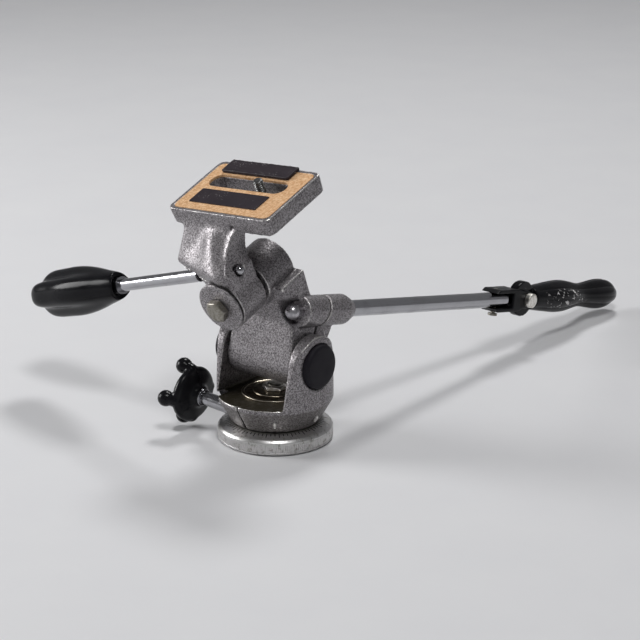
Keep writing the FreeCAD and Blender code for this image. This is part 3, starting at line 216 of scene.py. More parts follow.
def hammered_paint(name, grime_and_shade=None, bare=0.0):
    """Silver hammered paint; an optional mask says where oil stain and painted shade darken it, and bare how
    worn it is all over.
    """
    material, tree, shader, where = new_finish(name, metallic=PAINTED)
    flake = span(tree, noise(tree, where, FLAKE, rough=0.7), 0.34, 0.64)
    patch = span(tree, noise(tree, where, CLOUD, detail=2.0), 0.35, 0.7, 0.82, 1.0)
    speck = span(tree, noise(tree, where, FLECK, detail=2.0, rough=0.6), 0.56, 0.66)
    colour = mix(tree, calculate(tree, "MULTIPLY", flake, patch), SHADE, SILVER)
    colour = mix(tree, calculate(tree, "MULTIPLY", speck, 0.75), colour, SPECK_AND_SHADE)
    rough = span(tree, speck, 0.0, 1.0, 0.42, 0.62)
    edge = add(tree, "Attribute", output="Fac", attribute_name="edge")
    # painted shade: where edge is below zero, in the corners, the colour darkens towards that of the specks
    corner_shade = span(tree, edge, -0.75, -0.20, 0.62, 0.0)
    colour = mix(tree, corner_shade, colour, SPECK_AND_SHADE)
    # oil stain together with painted shade, where the mask given says
    if grime_and_shade:
        cloudy = span(tree, noise(tree, where, 3.5), 0.30, 0.55, 0.8, 1.0)
        colour = mix(tree, calculate(tree, "MULTIPLY", grime_and_shade(tree, where), cloudy), colour, OIL_AND_SHADE)
    chipped = calculate(tree, "MULTIPLY", noise(tree, where, CHIP, detail=5.0, rough=0.65), 0.9)
    ridge = calculate(tree, "ADD", calculate(tree, "ADD", edge, bare), chipped)
    rubbed = span(tree, ridge, 0.98, 1.24)
    colour = mix(tree, rubbed, colour, BARE)
    rough = span(tree, rubbed, 0.0, 1.0, rough, 0.32)
    metal = span(tree, rubbed, 0.0, 1.0, PAINTED, RUBBED)
    give(tree, shader, Base_Color=colour, Roughness=rough, Metallic=metal)
    under = dents(tree, shader, cells(tree, where, DIMPLE), 0.14)
    dents(tree, shader, calculate(tree, "SUBTRACT", 1.0, speck), 0.03, under)
    return material


paint = hammered_paint("hammered_paint")
worn_disc = hammered_paint("rubbed_hammered_paint", bare=0.55)
worn_ribs = hammered_paint("worn_rib_paint", bare=0.72)
print("paints", paint.name, worn_disc.name, worn_ribs.name)

# %% [markdown]
# ## Oil and painted shade in the yoke
# The pivot is oiled, and the oil gathers dust on the yoke's floor between the ears.  The floor is also
# darkened as painted shade, most near the bottom, where little light reaches between the ears.  The darkening
# could be painted on by hand, but the yoke stands upright and its sizes are known, so three soft steps in
# height and width say where it lies.  The cone under the yoke's rim is darkened too, with stain and painted
# shade, but less.

# %% Stain and shade the paint of the yoke
# heights above the table and half the room between the ears, in millimetres
CONE_RIM = 26.0
YOKE_FLOOR = 28.9
EAR_INSIDE = 26.0


def yoke_oil_and_shade(tree, where):
    """One inside the yoke, where oil and dust have settled and painted shade darkens the floor, and less on
    the cone under its rim.
    """
    place = add(tree, "SeparateXYZ", Vector=where).node
    sideways = calculate(tree, "ABSOLUTE", place.outputs["X"])
    height = place.outputs["Z"]
    between = span(tree, sideways, EAR_INSIDE * MM, (EAR_INSIDE + 0.9) * MM, 1.0, 0.0)
    # painted shade: darker towards the floor between the ears
    low = span(tree, height, (YOKE_FLOOR + 1.3) * MM, (YOKE_FLOOR + 13.1) * MM, 1.0, 0.35)
    raised = span(tree, height, YOKE_FLOOR * MM, (YOKE_FLOOR + 0.5) * MM)
    floor = calculate(tree, "MULTIPLY", calculate(tree, "MULTIPLY", between, low), raised)
    # the cone under the rim is darkened less, with stain and painted shade
    cone = span(tree, height, CONE_RIM * MM, (CONE_RIM + 1.8) * MM, 0.42, 0.0)
    return calculate(tree, "MAXIMUM", floor, cone)


yoke_paint = hammered_paint("yoke_hammered_paint", grime_and_shade=yoke_oil_and_shade)
# the paint is darkened with oil stain and painted shade above the floor height and below the rim height
print("stained above", YOKE_FLOOR, "mm and below", CONE_RIM, "mm:", yoke_paint.name)

# %% [markdown]
# ## Turned and plated metal
# The base disc is aluminium straight from the lathe, with fine rings round its axis and grime where fingers
# never reach, and a dark ring next to the yoke's cone that is grease and painted shade.  The rods are plated
# and smooth, with faint smears.  Nuts, bolts and washers are plain steel that has yellowed with age.  Rings
# need the distance from the axis, so the disc has a recipe of its own, and all other metals share one.

# %% Mix the metals
CLEAN_ALUMINIUM = (0.74, 0.73, 0.73, 1)
DULL_ALUMINIUM = (0.58, 0.57, 0.56, 1)
GREASE_AND_SHADE = (0.16, 0.15, 0.11, 1)
# radii in millimetres between which the grease and painted shade from under the cone fade out
GREASE_AND_SHADE_FROM = 27.5
GREASE_AND_SHADE_TO = 30.5


def turned_aluminium(name):
    """Bare metal with rings about the Z axis of the whole head."""
    material, tree, shader, where = new_finish(name, metallic=1.0)
    place = add(tree, "SeparateXYZ", Vector=where).node
    flat = add(tree, "CombineXYZ", a=place.outputs["X"], b=place.outputs["Y"])
    away = add(tree, "VectorMath", output="Value", operation="LENGTH", a=flat)
    rings = noise(tree, add(tree, "CombineXYZ", a=away, c=place.outputs["Z"]), 0.5, detail=4.0)
    grime_and_shade = span(tree, noise(tree, where, 3.0, detail=5.0, rough=0.7), 0.50, 0.68)
    # grease and painted shade: a dark ring on the disc next to the yoke's cone
    near = span(tree, away, GREASE_AND_SHADE_FROM * MM, GREASE_AND_SHADE_TO * MM, 0.60, 0.0)
    # random grime and the painted shade of the ring, whichever is darker
    dirt_and_shade = calculate(tree, "MAXIMUM", calculate(tree, "MULTIPLY", grime_and_shade, 0.65), near)
    clean = mix(tree, noise(tree, where, 14.0), CLEAN_ALUMINIUM, DULL_ALUMINIUM)
    colour = mix(tree, dirt_and_shade, clean, GREASE_AND_SHADE)
    give(tree, shader, Base_Color=colour, Roughness=span(tree, dirt_and_shade, 0.0, 0.7, 0.36, 0.55))
    dents(tree, shader, rings, 0.04)
    return material


def plain_metal(name, colour, stain, roughness, grain=2.0, scratch=0.015):
    """Metal of one colour with stains and fine scratches."""
    material, tree, shader, where = new_finish(name, metallic=1.0, roughness=roughness)
    old = span(tree, noise(tree, where, grain, detail=5.0, rough=0.6), 0.42, 0.68)
    give(tree, shader, Base_Color=mix(tree, old, colour, stain),
         Roughness=span(tree, old, 0.0, 1.0, roughness, roughness + 0.16))
    lines = noise(tree, stretched(tree, where, (1.0, 0.06, 1.0)), 0.25, detail=2.0)
    dents(tree, shader, lines, scratch)
    return material


aluminium = turned_aluminium("turned_aluminium")
plating = plain_metal("plated_steel", (0.42, 0.42, 0.44, 1), (0.38, 0.38, 0.395, 1), 0.11,
                      grain=14.0, scratch=0.004)
steel = plain_metal("aged_steel", (0.32, 0.305, 0.27, 1), (0.19, 0.175, 0.145, 1), 0.32)
bright_rim = plain_metal("bright_steel_rim", (0.50, 0.46, 0.38, 1), (0.30, 0.26, 0.20, 1), 0.30)
nut_steel = plain_metal("pale_nut_steel", (0.88, 0.86, 0.82, 1), (0.66, 0.62, 0.55, 1), 0.32)
screw_steel = plain_metal("dark_screw_steel", (0.20, 0.20, 0.20, 1), (0.10, 0.10, 0.10, 1), 0.35, grain=1.5)
satin = plain_metal("satin_nickel", (0.52, 0.51, 0.53, 1), (0.34, 0.33, 0.35, 1), 0.27, grain=3.0)
brown_steel = plain_metal("browned_steel", (0.20, 0.165, 0.12, 1), (0.085, 0.066, 0.045, 1), 0.28, grain=3.0)
metals = (aluminium, plating, steel, bright_rim, nut_steel, screw_steel, satin, brown_steel)
print("metals", [item.name for item in metals])

# %% [markdown]
# ## Black mouldings, rubber and tape
# The knob and the grips are glossy black plastic with dust and scuffs, the caps on the ears are softer rubber
# and two strips of black tape lie on the plate.  All of them are nearly black, so what tells them apart is
# how they reflect, how rough they are and how much pale dust has caught on them.  The folding grip has
# scraped against things on its outer side, and a mask in two soft steps keeps its scuffs there.

# %% Mix the mouldings
BLACK = (0.005, 0.005, 0.006, 1)
SCUFF = (0.80, 0.79, 0.78, 1)
# the scuffed side of the folding grip, in millimetres: its middle, half its length and how far out it starts
SCUFFED_AT = 281.0
SCUFFED_HALF = 16.0
SCUFFED_OUT = 29.0


def black_moulding(name, roughness, dust, colour=BLACK, sheen=0.16, scuffs=None):
    """Black plastic, enamel or rubber; dust is how many pale flecks lie on it, sheen how much it reflects."""
    material, tree, shader, where = new_finish(name)
    shader.inputs["Specular IOR Level"].default_value = sheen
    smear = noise(tree, where, 7.0, detail=4.0)
    fleck = span(tree, noise(tree, where, 0.9, rough=0.7), 0.80 - dust, 0.86 - dust)
    zone = span(tree, noise(tree, where, 12.0, detail=1.0), 0.48, 0.60)
    pale = calculate(tree, "MULTIPLY", fleck, zone)
    body = mix(tree, smear, colour, tuple(1.8 * value for value in colour[:3]) + (1,))
    if scuffs:
        chips = span(tree, noise(tree, where, 3.2, detail=5.0, rough=0.65), 0.59, 0.61)
        pale = calculate(tree, "MAXIMUM", pale, calculate(tree, "MULTIPLY", chips, scuffs(tree, where)))
    give(tree, shader, Base_Color=mix(tree, pale, body, SCUFF),
         Roughness=calculate(tree, "ADD", span(tree, smear, 0.3, 0.7, roughness, roughness + 0.10), pale))
    dents(tree, shader, noise(tree, where, 0.6), 0.008)
    return material


def grip_side(tree, where):
    """One on the outer side of the folding grip, near its knuckle, where the moulding has scraped."""
    place = add(tree, "SeparateXYZ", Vector=where).node
    along = calculate(tree, "ABSOLUTE", calculate(tree, "SUBTRACT", place.outputs["Y"], SCUFFED_AT * MM))
    inside = span(tree, along, SCUFFED_HALF * MM, (SCUFFED_HALF + 14.0) * MM, 1.0, 0.0)
    outer = span(tree, place.outputs["X"], SCUFFED_OUT * MM, (SCUFFED_OUT + 1.5) * MM)
    return calculate(tree, "MULTIPLY", inside, outer)


plastic = black_moulding("black_plastic", 0.16, 0.08)
handled_plastic = black_moulding("handled_black_plastic", 0.14, 0.10, sheen=0.11)
scuffed_plastic = black_moulding("scuffed_black_plastic", 0.16, 0.08, scuffs=grip_side)
rubber = black_moulding("black_rubber", 0.48, 0.04, colour=(0.008, 0.007, 0.010, 1), sheen=0.18)
enamel = black_moulding("black_enamel", 0.30, 0.10, sheen=0.14)
tape = black_moulding("black_tape", 0.38, 0.17, colour=(0.020, 0.015, 0.019, 1), sheen=0.25)
fibre = black_moulding("grey_fibre", 0.70, 0.05, colour=(0.05, 0.045, 0.04, 1))
wax = black_moulding("engraving_wax", 0.6, 0.0, colour=(0.02, 0.018, 0.02, 1))
mouldings = (plastic, handled_plastic, scuffed_plastic, rubber, enamel, tape, fibre, wax)
print("mouldings", [item.name for item in mouldings])

# %% [markdown]
# ## Cork
# The plate is faced with pressed cork, so that a camera neither slips nor gets scratched.  Pressed cork is a
# mass of grains about a millimetre wide, each with a tone of its own, and dark pores between them.  Round
# cells with a random colour give the grains their tones, and clouds give the pores.

# %% Press the cork
DARK_CORK = (0.50, 0.25, 0.10, 1)
PALE_CORK = (0.86, 0.60, 0.36, 1)
RED_CORK = (0.66, 0.37, 0.18, 1)
PORE = (0.22, 0.09, 0.035, 1)
CORK_GRAIN = 1.3


def cork_facing(name):
    """Pressed cork: grains in three tones with dark pores between them."""
    material, tree, shader, where = new_finish(name, roughness=0.85)
    tone = noise(tree, where, 1.6, detail=5.0, rough=0.7)
    grain = add(tree, "TexVoronoi", output="Color", Vector=where, Scale=1 / (CORK_GRAIN * MM))
    shade = add(tree, "SeparateColor", Color=grain)
    light = mix(tree, span(tree, tone, 0.34, 0.66), DARK_CORK, PALE_CORK)
    each = mix(tree, calculate(tree, "MULTIPLY", shade, 0.55), light, RED_CORK)
    pore = span(tree, noise(tree, where, 0.8, detail=4.0, rough=0.7), 0.60, 0.70)
    give(tree, shader, Base_Color=mix(tree, pore, each, PORE))
    dents(tree, shader, calculate(tree, "SUBTRACT", tone, pore), 0.10)
    return material


cork = cork_facing("cork")
print("cork with", CORK_GRAIN, "mm grains:", cork.name)

# %% [markdown]
# ## Finish the solids
# Rods, pins and washers already have the right form.  They keep their mesh and only get a finish, node by
# node.  The castings and the turned pieces get theirs here too, although a finer piece stands in for most of
# them further down, because a solid without its finish would be a plain grey one.

# %% Give each solid its finish
FINISH_OF = {
    "pan_post": steel, "pan_nut": steel, "pan_spring_washer": brown_steel, "pan_friction_ring": fibre,
    "tilt_axle": steel, "tilt_washer_left": fibre, "tilt_washer_right": fibre,
    "axle_washer_left": steel, "axle_washer_right": steel,
    "axle_screw_left": steel, "axle_screw_right": steel,
    "ear_cap_left": rubber, "ear_cap_right": rubber,
    "pan_lock_rod": plating, "pan_lock_knob": plastic,
    "base_disc": aluminium, "pan_yoke": yoke_paint, "tilt_casting": paint, "platform_bracket": paint,
    "tilt_ball_nut": steel, "side_tilt_spindle": steel, "side_tilt_end_disc": paint, "side_tilt_bolt": steel,
    "cork_pad": cork, "front_strip": tape, "rear_strip": tape, "side_ball_nut": plating,
    "camera_screw": screw_steel, "camera_washer": steel, "camera_knob": plastic,
    "side_handle_rod": plating, "side_ferrule": plating, "side_grip": handled_plastic,
    "tilt_handle_rod": plating, "handle_knuckle": enamel, "knuckle_screw": steel, "fold_pin": plating,
    "folding_grip": handled_plastic,
}
for node_name, finish in FINISH_OF.items():
    mesh = frame["nodes"][node_name].data
    mesh.materials.clear()
    mesh.materials.append(finish)
print("finished", len(FINISH_OF), "of", len(frame["nodes"]))

# %% [markdown]
# ## Standing in for a solid
# A piece that stands in for a solid rides on the same body and hides the solid.  Short helpers read the body
# from the record, so that no piece has to repeat it.

# %% Helpers that read the record
bodies = frame["record"]["behaviour"]["bodies"]


def body_of(node_name):
    """The body that a solid rides on."""
    return next(body for body, nodes in bodies.items() if node_name in nodes)


def go_with(piece, node_name):
    """The piece rides on the same body as this solid."""
    if piece.name not in scene.collection.objects:
        scene.collection.objects.link(piece)
    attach(piece, body_of(node_name))


def stand_in(piece, node_name):
    """The piece does all that and hides the solid, whose place it takes."""
    go_with(piece, node_name)
    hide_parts(node_name)


print("solids on each body:", {body: len(nodes) for body, nodes in bodies.items()})

# %% [markdown]
# ## Frames along the joints
# A turned piece is turned about the axis of its joint, which seldom lies along X, Y or Z.  In a frame with
# its Z axis along the joint every profile is a list of radii and heights, and a solid measured in that frame
# gives the profile its ends.  The platform gets a frame of its own, because its bracket leans with it.

# %% Make the frames
def joint(name):
    """What the frame says of a joint."""
    return next(item for item in frame["joints"] if item["name"] == name)


def axis_frame(name, sign=1):
    """A frame with its Z axis along a joint, and its X axis as level as can be."""
    item = joint(name)
    z = sign * Vector(item["axis"]).normalized()
    x = Vector((0, 0, 1)).cross(z)
    x = (x if x.length > 0.1 else Vector((1, 0, 0))).normalized()
    return Matrix.Translation(item["pos_m"]) @ Matrix((x, z.cross(x), z)).transposed().to_4x4()


def reach(node_name, place):
    """How far a solid reaches along a frame's Z axis, low and high, and away from it, in millimetres."""
    inverse = place.inverted()
    spots = [inverse @ corner.co for corner in frame["nodes"][node_name].data.vertices]
    heights = [spot.z / MM for spot in spots]
    return min(heights), max(heights), max(math.hypot(spot.x, spot.y) for spot in spots) / MM


# the platform's own frame: X along the slot, Z square to the plate, origin on the side tilt axis
across = Vector(joint("camera_slide")["axis"]).normalized()
above = Vector(joint("camera_screw_turn")["axis"]).normalized()
leaning = Matrix((across, above.cross(across), above)).transposed().to_4x4()
platform = Matrix.Translation(joint("side_tilt")["pos_m"]) @ leaning
print("platform stands at", tuple(round(value, 4) for value in platform.translation))

# %% [markdown]
# ## A skin of small squares
# A casting has no knife edge and no sharp inner corner, because sand and molten metal allow neither.  A bevel
# would fail on solids that were cut and joined as often as these, so the solid's mesh is wrapped again in
# small even squares instead.  Such a skin can be smoothed and carved anywhere, and joins several meshes.

# %% Wrap a mesh
WELD = 0.002


def mesh_of(name, shape):
    """Makes a mesh of what was built and clears the bench."""
    mesh = bpy.data.meshes.new(name)
    shape.to_mesh(mesh)
    shape.free()
    return mesh


def wrapped(name, meshes, voxel):
    """One closed skin of even squares round one or more meshes."""
    shape = bmesh.new()
    for mesh in meshes:
        shape.from_mesh(mesh)
    bmesh.ops.remove_doubles(shape, verts=shape.verts, dist=WELD * MM)
    source = mesh_of(name + "_source", shape)
    piece = bpy.data.objects.new(name, source)
    scene.collection.objects.link(piece)
    skin = piece.modifiers.new("wrap", "REMESH")
    skin.mode = "VOXEL"
    skin.voxel_size = voxel * MM
    evaluated = piece.evaluated_get(bpy.context.evaluated_depsgraph_get())
    piece.data = bpy.data.meshes.new_from_object(evaluated)
    piece.modifiers.clear()
    bpy.data.meshes.remove(source)
    return piece


print("points nearer than", WELD, "mm are welded before a mesh is wrapped")

# %% [markdown]
# ## Smoothing
# Every point moves towards the middle of its neighbours a few times.  Flat faces stay flat, while ridges and
# corners become round.  A modifier could smooth as well, but here the strength may differ from point to
# point, which lets one form flow into another in one region only.

# %% Smooth the points
def read(mesh, what="co"):
    """The places, or the normals, of a mesh's points."""
    values = np.empty(len(mesh.vertices) * 3)
    mesh.vertices.foreach_get(what, values)
    return values.reshape(-1, 3)


def edge_pairs(mesh):
    """The two points that each edge joins."""
    pairs = np.empty(len(mesh.edges) * 2, dtype=int)
    mesh.edges.foreach_get("vertices", pairs)
    return pairs.reshape(-1, 2)


def relaxed(points, edges, rounds, weight=0.5):
    """The points after some rounds of moving towards the middle of their neighbours."""
    first, second = edges[:, 0], edges[:, 1]
    count = len(points)
    share = np.bincount(first, minlength=count) + np.bincount(second, minlength=count)
    share = np.maximum(share, 1)[:, None]
    weight = weight if np.isscalar(weight) else weight[:, None]
    for _ in range(rounds):
        total = np.stack([
            np.bincount(first, points[second, axis], count) + np.bincount(second, points[first, axis], count)
            for axis in range(3)
        ], axis=1)
        points = points + weight * (total / share - points)
    return points


def smooth_step(value, low, high):
    """Nothing below low, one above high and a soft step between them."""
    share = np.clip((value - low) / (high - low), 0, 1)
    return share * share * (3 - 2 * share)


def hill(value, middle, width):
    """One at the middle, falling softly to nothing a width away."""
    return 1 - smooth_step(np.abs(value - middle), 0, width)


def seen_from(place, points):
    """The points in a frame's own millimetres."""
    inverse = np.array(place.inverted())
    return (points @ inverse[:3, :3].T + inverse[:3, 3]) / MM


print("hill at 0, 1 and 2 mm for a width of 2 mm:", [float(hill(value, 0, 2)) for value in (0, 1, 2)])

# %% [markdown]
# ## A cast skin
# The skin of a casting is smoothed a little all over.  After that, a point that more smoothing would move
# inwards is on a ridge, and one that it would move outwards is in a corner.  That amount is kept as the value
# edge, which the paint above uses.  Where a casting needs carving, sculpt moves the points of its skin before
# the last rounds, and melt says where many more rounds let the carving flow together.

# %% Stand a cast skin in for a solid
# rounds before the carving, rounds that probe for ridges, and millimetres of pull that make a full ridge
FIRST_ROUNDS = 2
PROBE_ROUNDS = 6
RIDGE_PULL = 0.22


def cast_skin(node_name, finish, voxel=0.6, rounds=3, extra=(), sculpt=None, melt=None, melt_rounds=40):
    """Stands a smoothed skin in for a solid; sculpt moves its points and melt says where they flow."""
    piece = wrapped(node_name + "_cast", [frame["nodes"][node_name].data, *extra], voxel)
    mesh = piece.data
    edges = edge_pairs(mesh)
    points = relaxed(read(mesh), edges, FIRST_ROUNDS)
    if sculpt:
        points = sculpt(points)
    if melt:
        points = relaxed(points, edges, melt_rounds, 0.5 * melt(points))
    points = relaxed(points, edges, rounds)
    mesh.vertices.foreach_set("co", points.ravel())
    mesh.update()
    pull = ((relaxed(points, edges, PROBE_ROUNDS) - points) * read(mesh, "normal")).sum(axis=1)
    edge = mesh.attributes.new("edge", "FLOAT", "POINT")
    edge.data.foreach_set("value", np.clip(-pull / (RIDGE_PULL * MM), -1, 1))
    mesh.shade_smooth()
    mesh.materials.clear()
    mesh.materials.append(finish)
    stand_in(piece, node_name)
    print(piece.name, len(mesh.vertices), "points")


print("a point that is pulled inwards by", RIDGE_PULL, "mm is wholly on a ridge")

# %% [markdown]
# ## Turned pieces
# A lathe cuts a profile that is turned about an axis.  Each corner of the profile is a radius and a height in
# millimetres, and a third number rounds it off with a small arc, for it is this arc that catches the light.
# The screw modifier turns a profile as well, but it can't mark which faces belong to an arc or mill a band.

# %% Round the corners of a profile
# the share of a side that an arc may take
ARC_SHARE = 0.45


def rounded_profile(corners, steps=4):
    """The corners with arcs in place of the rounded ones; each point says whether it is on an arc."""
    path = []
    for index, corner in enumerate(corners):
        here = Vector(corner[:2])
        bend = corner[2] if len(corner) > 2 else 0
        if not bend or index in (0, len(corners) - 1):
            path.append((here, False))
            continue
        before = Vector(corners[index - 1][:2]) - here
        after = Vector(corners[index + 1][:2]) - here
        cut = min(bend, ARC_SHARE * before.length, ARC_SHARE * after.length)
        start, finish = here + before.normalized() * cut, here + after.normalized() * cut
        for step in range(steps + 1):
            share = step / steps
            path.append((start.lerp(here, share).lerp(here.lerp(finish, share), share), step > 0))
    return path


corner_points = rounded_profile([(0, 0), (9, 0, 1), (9, 9)])[1:-1]
print("a rounded corner becomes", len(corner_points), "points")

# %% [markdown]
# ## A small lathe
# Each point of the profile becomes a ring of points, and faces bridge neighbouring rings.  One on the axis
# stays a single point, which closes the piece.  Edges that bend by more than a third of a right angle stay
# sharp, so that flats look flat and only arcs look round.

# %% Set up the lathe
SIDES = 96
SHARP = math.radians(32)


def ring_of(shape, place, radii, height):
    """A ring of points about a frame's Z axis, each with its own radius in millimetres."""
    ring = []
    for side, radius in enumerate(radii):
        turn = 2 * math.pi * side / len(radii)
        spot = Vector((radius * math.cos(turn) * MM, radius * math.sin(turn) * MM, height * MM))
        ring.append(shape.verts.new(place @ spot))
    return ring


def bridge(shape, ring, other, sides):
    """The faces between two rings, either of which may be a single point."""
    faces = []
    for side in range(sides):
        after = side + 1
        loop = [ring[side % len(ring)], ring[after % len(ring)],
                other[after % len(other)], other[side % len(other)]]
        loop = list(dict.fromkeys(loop))
        if len(loop) > 2:
            faces.append(shape.faces.new(loop))
    return faces


def lathe_mesh(name, place, corners, sides=SIDES, knurl=(0, 0, 0, 0)):
    """Turns (radius, height, round) corners about Z.

    Knurl is the low, high, depth and least radius of a milled band, where every other point is cut back.
    """
    low, high, depth, least = knurl
    shape = bmesh.new()
    rings = []
    for spot, arc in rounded_profile(corners):
        cut = depth if low < spot.y < high and spot.x > least else 0
        radii = [spot.x - cut * (side % 2) for side in range(sides)] if spot.x > 0 else [0]
        rings.append((ring_of(shape, place, radii, spot.y), arc))
    for (ring, _), (other, arc) in zip(rings, rings[1:]):
        for face in bridge(shape, ring, other, sides):
            face.material_index = int(arc)
    bmesh.ops.recalc_face_normals(shape, faces=shape.faces)
    mesh = mesh_of(name, shape)
    mesh.shade_smooth()
    mesh.set_sharp_from_angle(angle=SHARP)
    return mesh


def turned(name, place, corners, finish, rim=None, **options):
    """A turned piece; the rim finish goes on the small arcs of its corners."""
    mesh = lathe_mesh(name, place, corners, **options)
    mesh.materials.append(finish)
    mesh.materials.append(rim or finish)
    print(name, len(mesh.vertices), "points")
    return bpy.data.objects.new(name, mesh)


print("turned pieces have", SIDES, "sides")

# %% [markdown]
# ## The yoke and its index ribs
# The yoke is cast in one piece, a split cone with two ears.  Two short ribs stand on its cone, against the
# graduated disc below.  They are stretched balls that sink halfway into the cone, which is simpler than
# carving them, and their paint is rubbed away because fingers catch on them.

# %% Cast the yoke
cast_skin("pan_yoke", yoke_paint)

# the line down the cone that the ribs lie on, in millimetres from the axis and above the table
CONE_LOW = Vector((28.2, 0, 13.6))
CONE_HIGH = Vector((34.0, 0, 23.5))
RIB_LENGTH = 6.0
RIB_WIDTH = 2.4
RIB_STAND = 1.7
RIB_TURNS = (-50, 2)


def index_ribs(name):
    """Short round ribs down the cone of the yoke."""
    middle = CONE_LOW.lerp(CONE_HIGH, 0.55) * MM
    slope = (CONE_LOW - CONE_HIGH).normalized()
    lean = Matrix((slope, (0, 1, 0), (-slope.z, 0, slope.x))).transposed().to_4x4()
    size = Matrix.Diagonal((0.5 * RIB_LENGTH * MM, 0.5 * RIB_WIDTH * MM, RIB_STAND * MM, 1))
    shape = bmesh.new()
    for turn in RIB_TURNS:
        ball = bmesh.ops.create_uvsphere(shape, u_segments=16, v_segments=10, radius=1.0)["verts"]
        spin = Matrix.Rotation(math.radians(turn), 4, "Z")
        bmesh.ops.transform(shape, matrix=spin @ Matrix.Translation(middle) @ lean @ size, verts=ball)
    mesh = mesh_of(name, shape)
    mesh.shade_smooth()
    mesh.materials.append(worn_ribs)
    return bpy.data.objects.new(name, mesh)


go_with(index_ribs("index_ribs"), "pan_yoke")
print("index ribs", RIB_TURNS, "degrees round from the X axis")

# %% [markdown]
# ## The tilt casting
# The casting closes round the drum of the side tilt and holds a split barrel for the long handle.  A ring is
# added at the mouth of the barrel, because the paint runs right up to the ball nut there, and the dip round
# the nut is melted until its edges are as soft as a mould leaves them.

# %% Cast the tilt body
barrel = axis_frame("tilt_handle_turn")
nut_low, nut_high, nut_radius = reach("tilt_ball_nut", barrel)
STEM = 4.2
MOUTH_OUTSIDE = 9.0
DIP = 10.0
bore = STEM + 0.15
mouth = lathe_mesh("barrel_mouth", barrel, [
    (bore, nut_high - 0.6), (MOUTH_OUTSIDE, nut_high - 0.6), (MOUTH_OUTSIDE, nut_high + 2.0),
    (bore, nut_high + 2.0), (bore, nut_high - 0.6),
])
print("ball nut from", round(nut_low, 1), "to", round(nut_high, 1), "radius", round(nut_radius, 1))


def melt_pocket(points):
    """One round the ball nut, where the casting dips to make room for it."""
    x, y, z = seen_from(barrel, points).T
    near = 1 - smooth_step(np.hypot(x, y), DIP, DIP + 3.0)
    return near * (1 - smooth_step(z, nut_high - 3.0, nut_high - 1.5))


cast_skin("tilt_casting", paint, extra=[mouth], melt=melt_pocket, melt_rounds=30)

# %% [markdown]
# ## The bracket under the plate
# The neck of the bracket is the part that a pattern maker carved by hand.  A round nose grows out of its
# front, a hollow runs down beside the nose and a thin ridge closes the side.  On the skin these are three
# gentle moves of its points, measured in the platform's own frame, followed by a long melt.  Heights there
# run upwards from the side tilt axis, and the front is towards negative Y.

# %% Cast and carve the bracket
# the neck in the platform's frame, in millimetres: its ends in height, its sides and its front face
NECK_FOOT = 24.0
NECK_TOP = 43.0
NECK_LEFT = -37.0
NECK_RIGHT = 15.5
NECK_FACE = -8.5
# the height at which its right edge draws in most, how far out that edge is there, and how it curves
WAIST = 33.0
WAIST_SIDE = 8.6
WAIST_CURVE = 0.035
# how far the three forms go in and out, and half their widths
HOLLOW_DEPTH, HOLLOW_HALF = 2.0, 3.6
NOSE_STAND, NOSE_HALF = 3.8, 8.0
RIDGE_STAND, RIDGE_HALF = 0.6, 2.0
# the nose starts left of the middle and shifts, widens and fades over its length
NOSE_LENGTH = 20.7
NOSE_START = -6.5
NOSE_SHIFT = 3.0
NOSE_WIDENS = 9.0
NOSE_FADES = 0.70


def neck_front(local):
    """One on the front of the neck, nothing elsewhere."""
    x, y, z = local.T
    tall = smooth_step(z, NECK_FOOT - 4.5, NECK_FOOT) * (1 - smooth_step(z, NECK_TOP + 0.5, NECK_TOP + 3))
    wide = smooth_step(x, NECK_LEFT - 3, NECK_LEFT) * (1 - smooth_step(x, NECK_RIGHT, NECK_RIGHT + 2))
    return tall * wide * (1 - smooth_step(y, NECK_FACE - 1, NECK_FACE + 1))


def neck_side(z):
    """Where the right edge of the neck stands at a height; it draws in towards the waist."""
    return WAIST_SIDE + WAIST_CURVE * (z - WAIST) ** 2


def carve_neck(points):
    """Pushes the hollow in and pulls the nose and the ridge out."""
    local = seen_from(platform, points)
    x, y, z = local.T
    side = neck_side(z)
    drop = np.clip((NECK_TOP - z) / NOSE_LENGTH, 0, 1)
    nose = hill(x, NOSE_START + NOSE_SHIFT * drop, NOSE_HALF + NOSE_WIDENS * drop)
    nose *= smooth_step(drop, 0.04, 0.16) * (1 - NOSE_FADES * drop)
    hollow = hill(x, side - 3.8, HOLLOW_HALF) * smooth_step(z, NECK_FOOT, NECK_FOOT + 7)
    ridge = hill(x, side - 0.3, RIDGE_HALF) * (y < NECK_FACE)
    ridge *= smooth_step(z, NECK_FOOT - 2, NECK_FOOT + 1) * (1 - smooth_step(z, NECK_TOP - 1.5, NECK_TOP + 1))
    move = (HOLLOW_DEPTH * hollow - NOSE_STAND * nose) * neck_front(local) - RIDGE_STAND * ridge
    return points + np.outer(move * MM, np.array(platform)[:3, 1])


def melt_neck(points):
    """One on the front of the neck, except along the ridge, which stays thin."""
    local = seen_from(platform, points)
    x, _, z = local.T
    return neck_front(local) * (1 - hill(x, neck_side(z), 2.6))


cast_skin("platform_bracket", paint, sculpt=carve_neck, melt=melt_neck, melt_rounds=90)

# %% [markdown]
# ## The base disc
# The base disc comes from the lathe too.  Its rim has a milled band between two plain lips.  The band has 160
# real teeth about 1.4 mm wide.  Bump alone would leave the outline of the rim smooth, and its teeth would
# hardly glint on one flank and darken on the other.

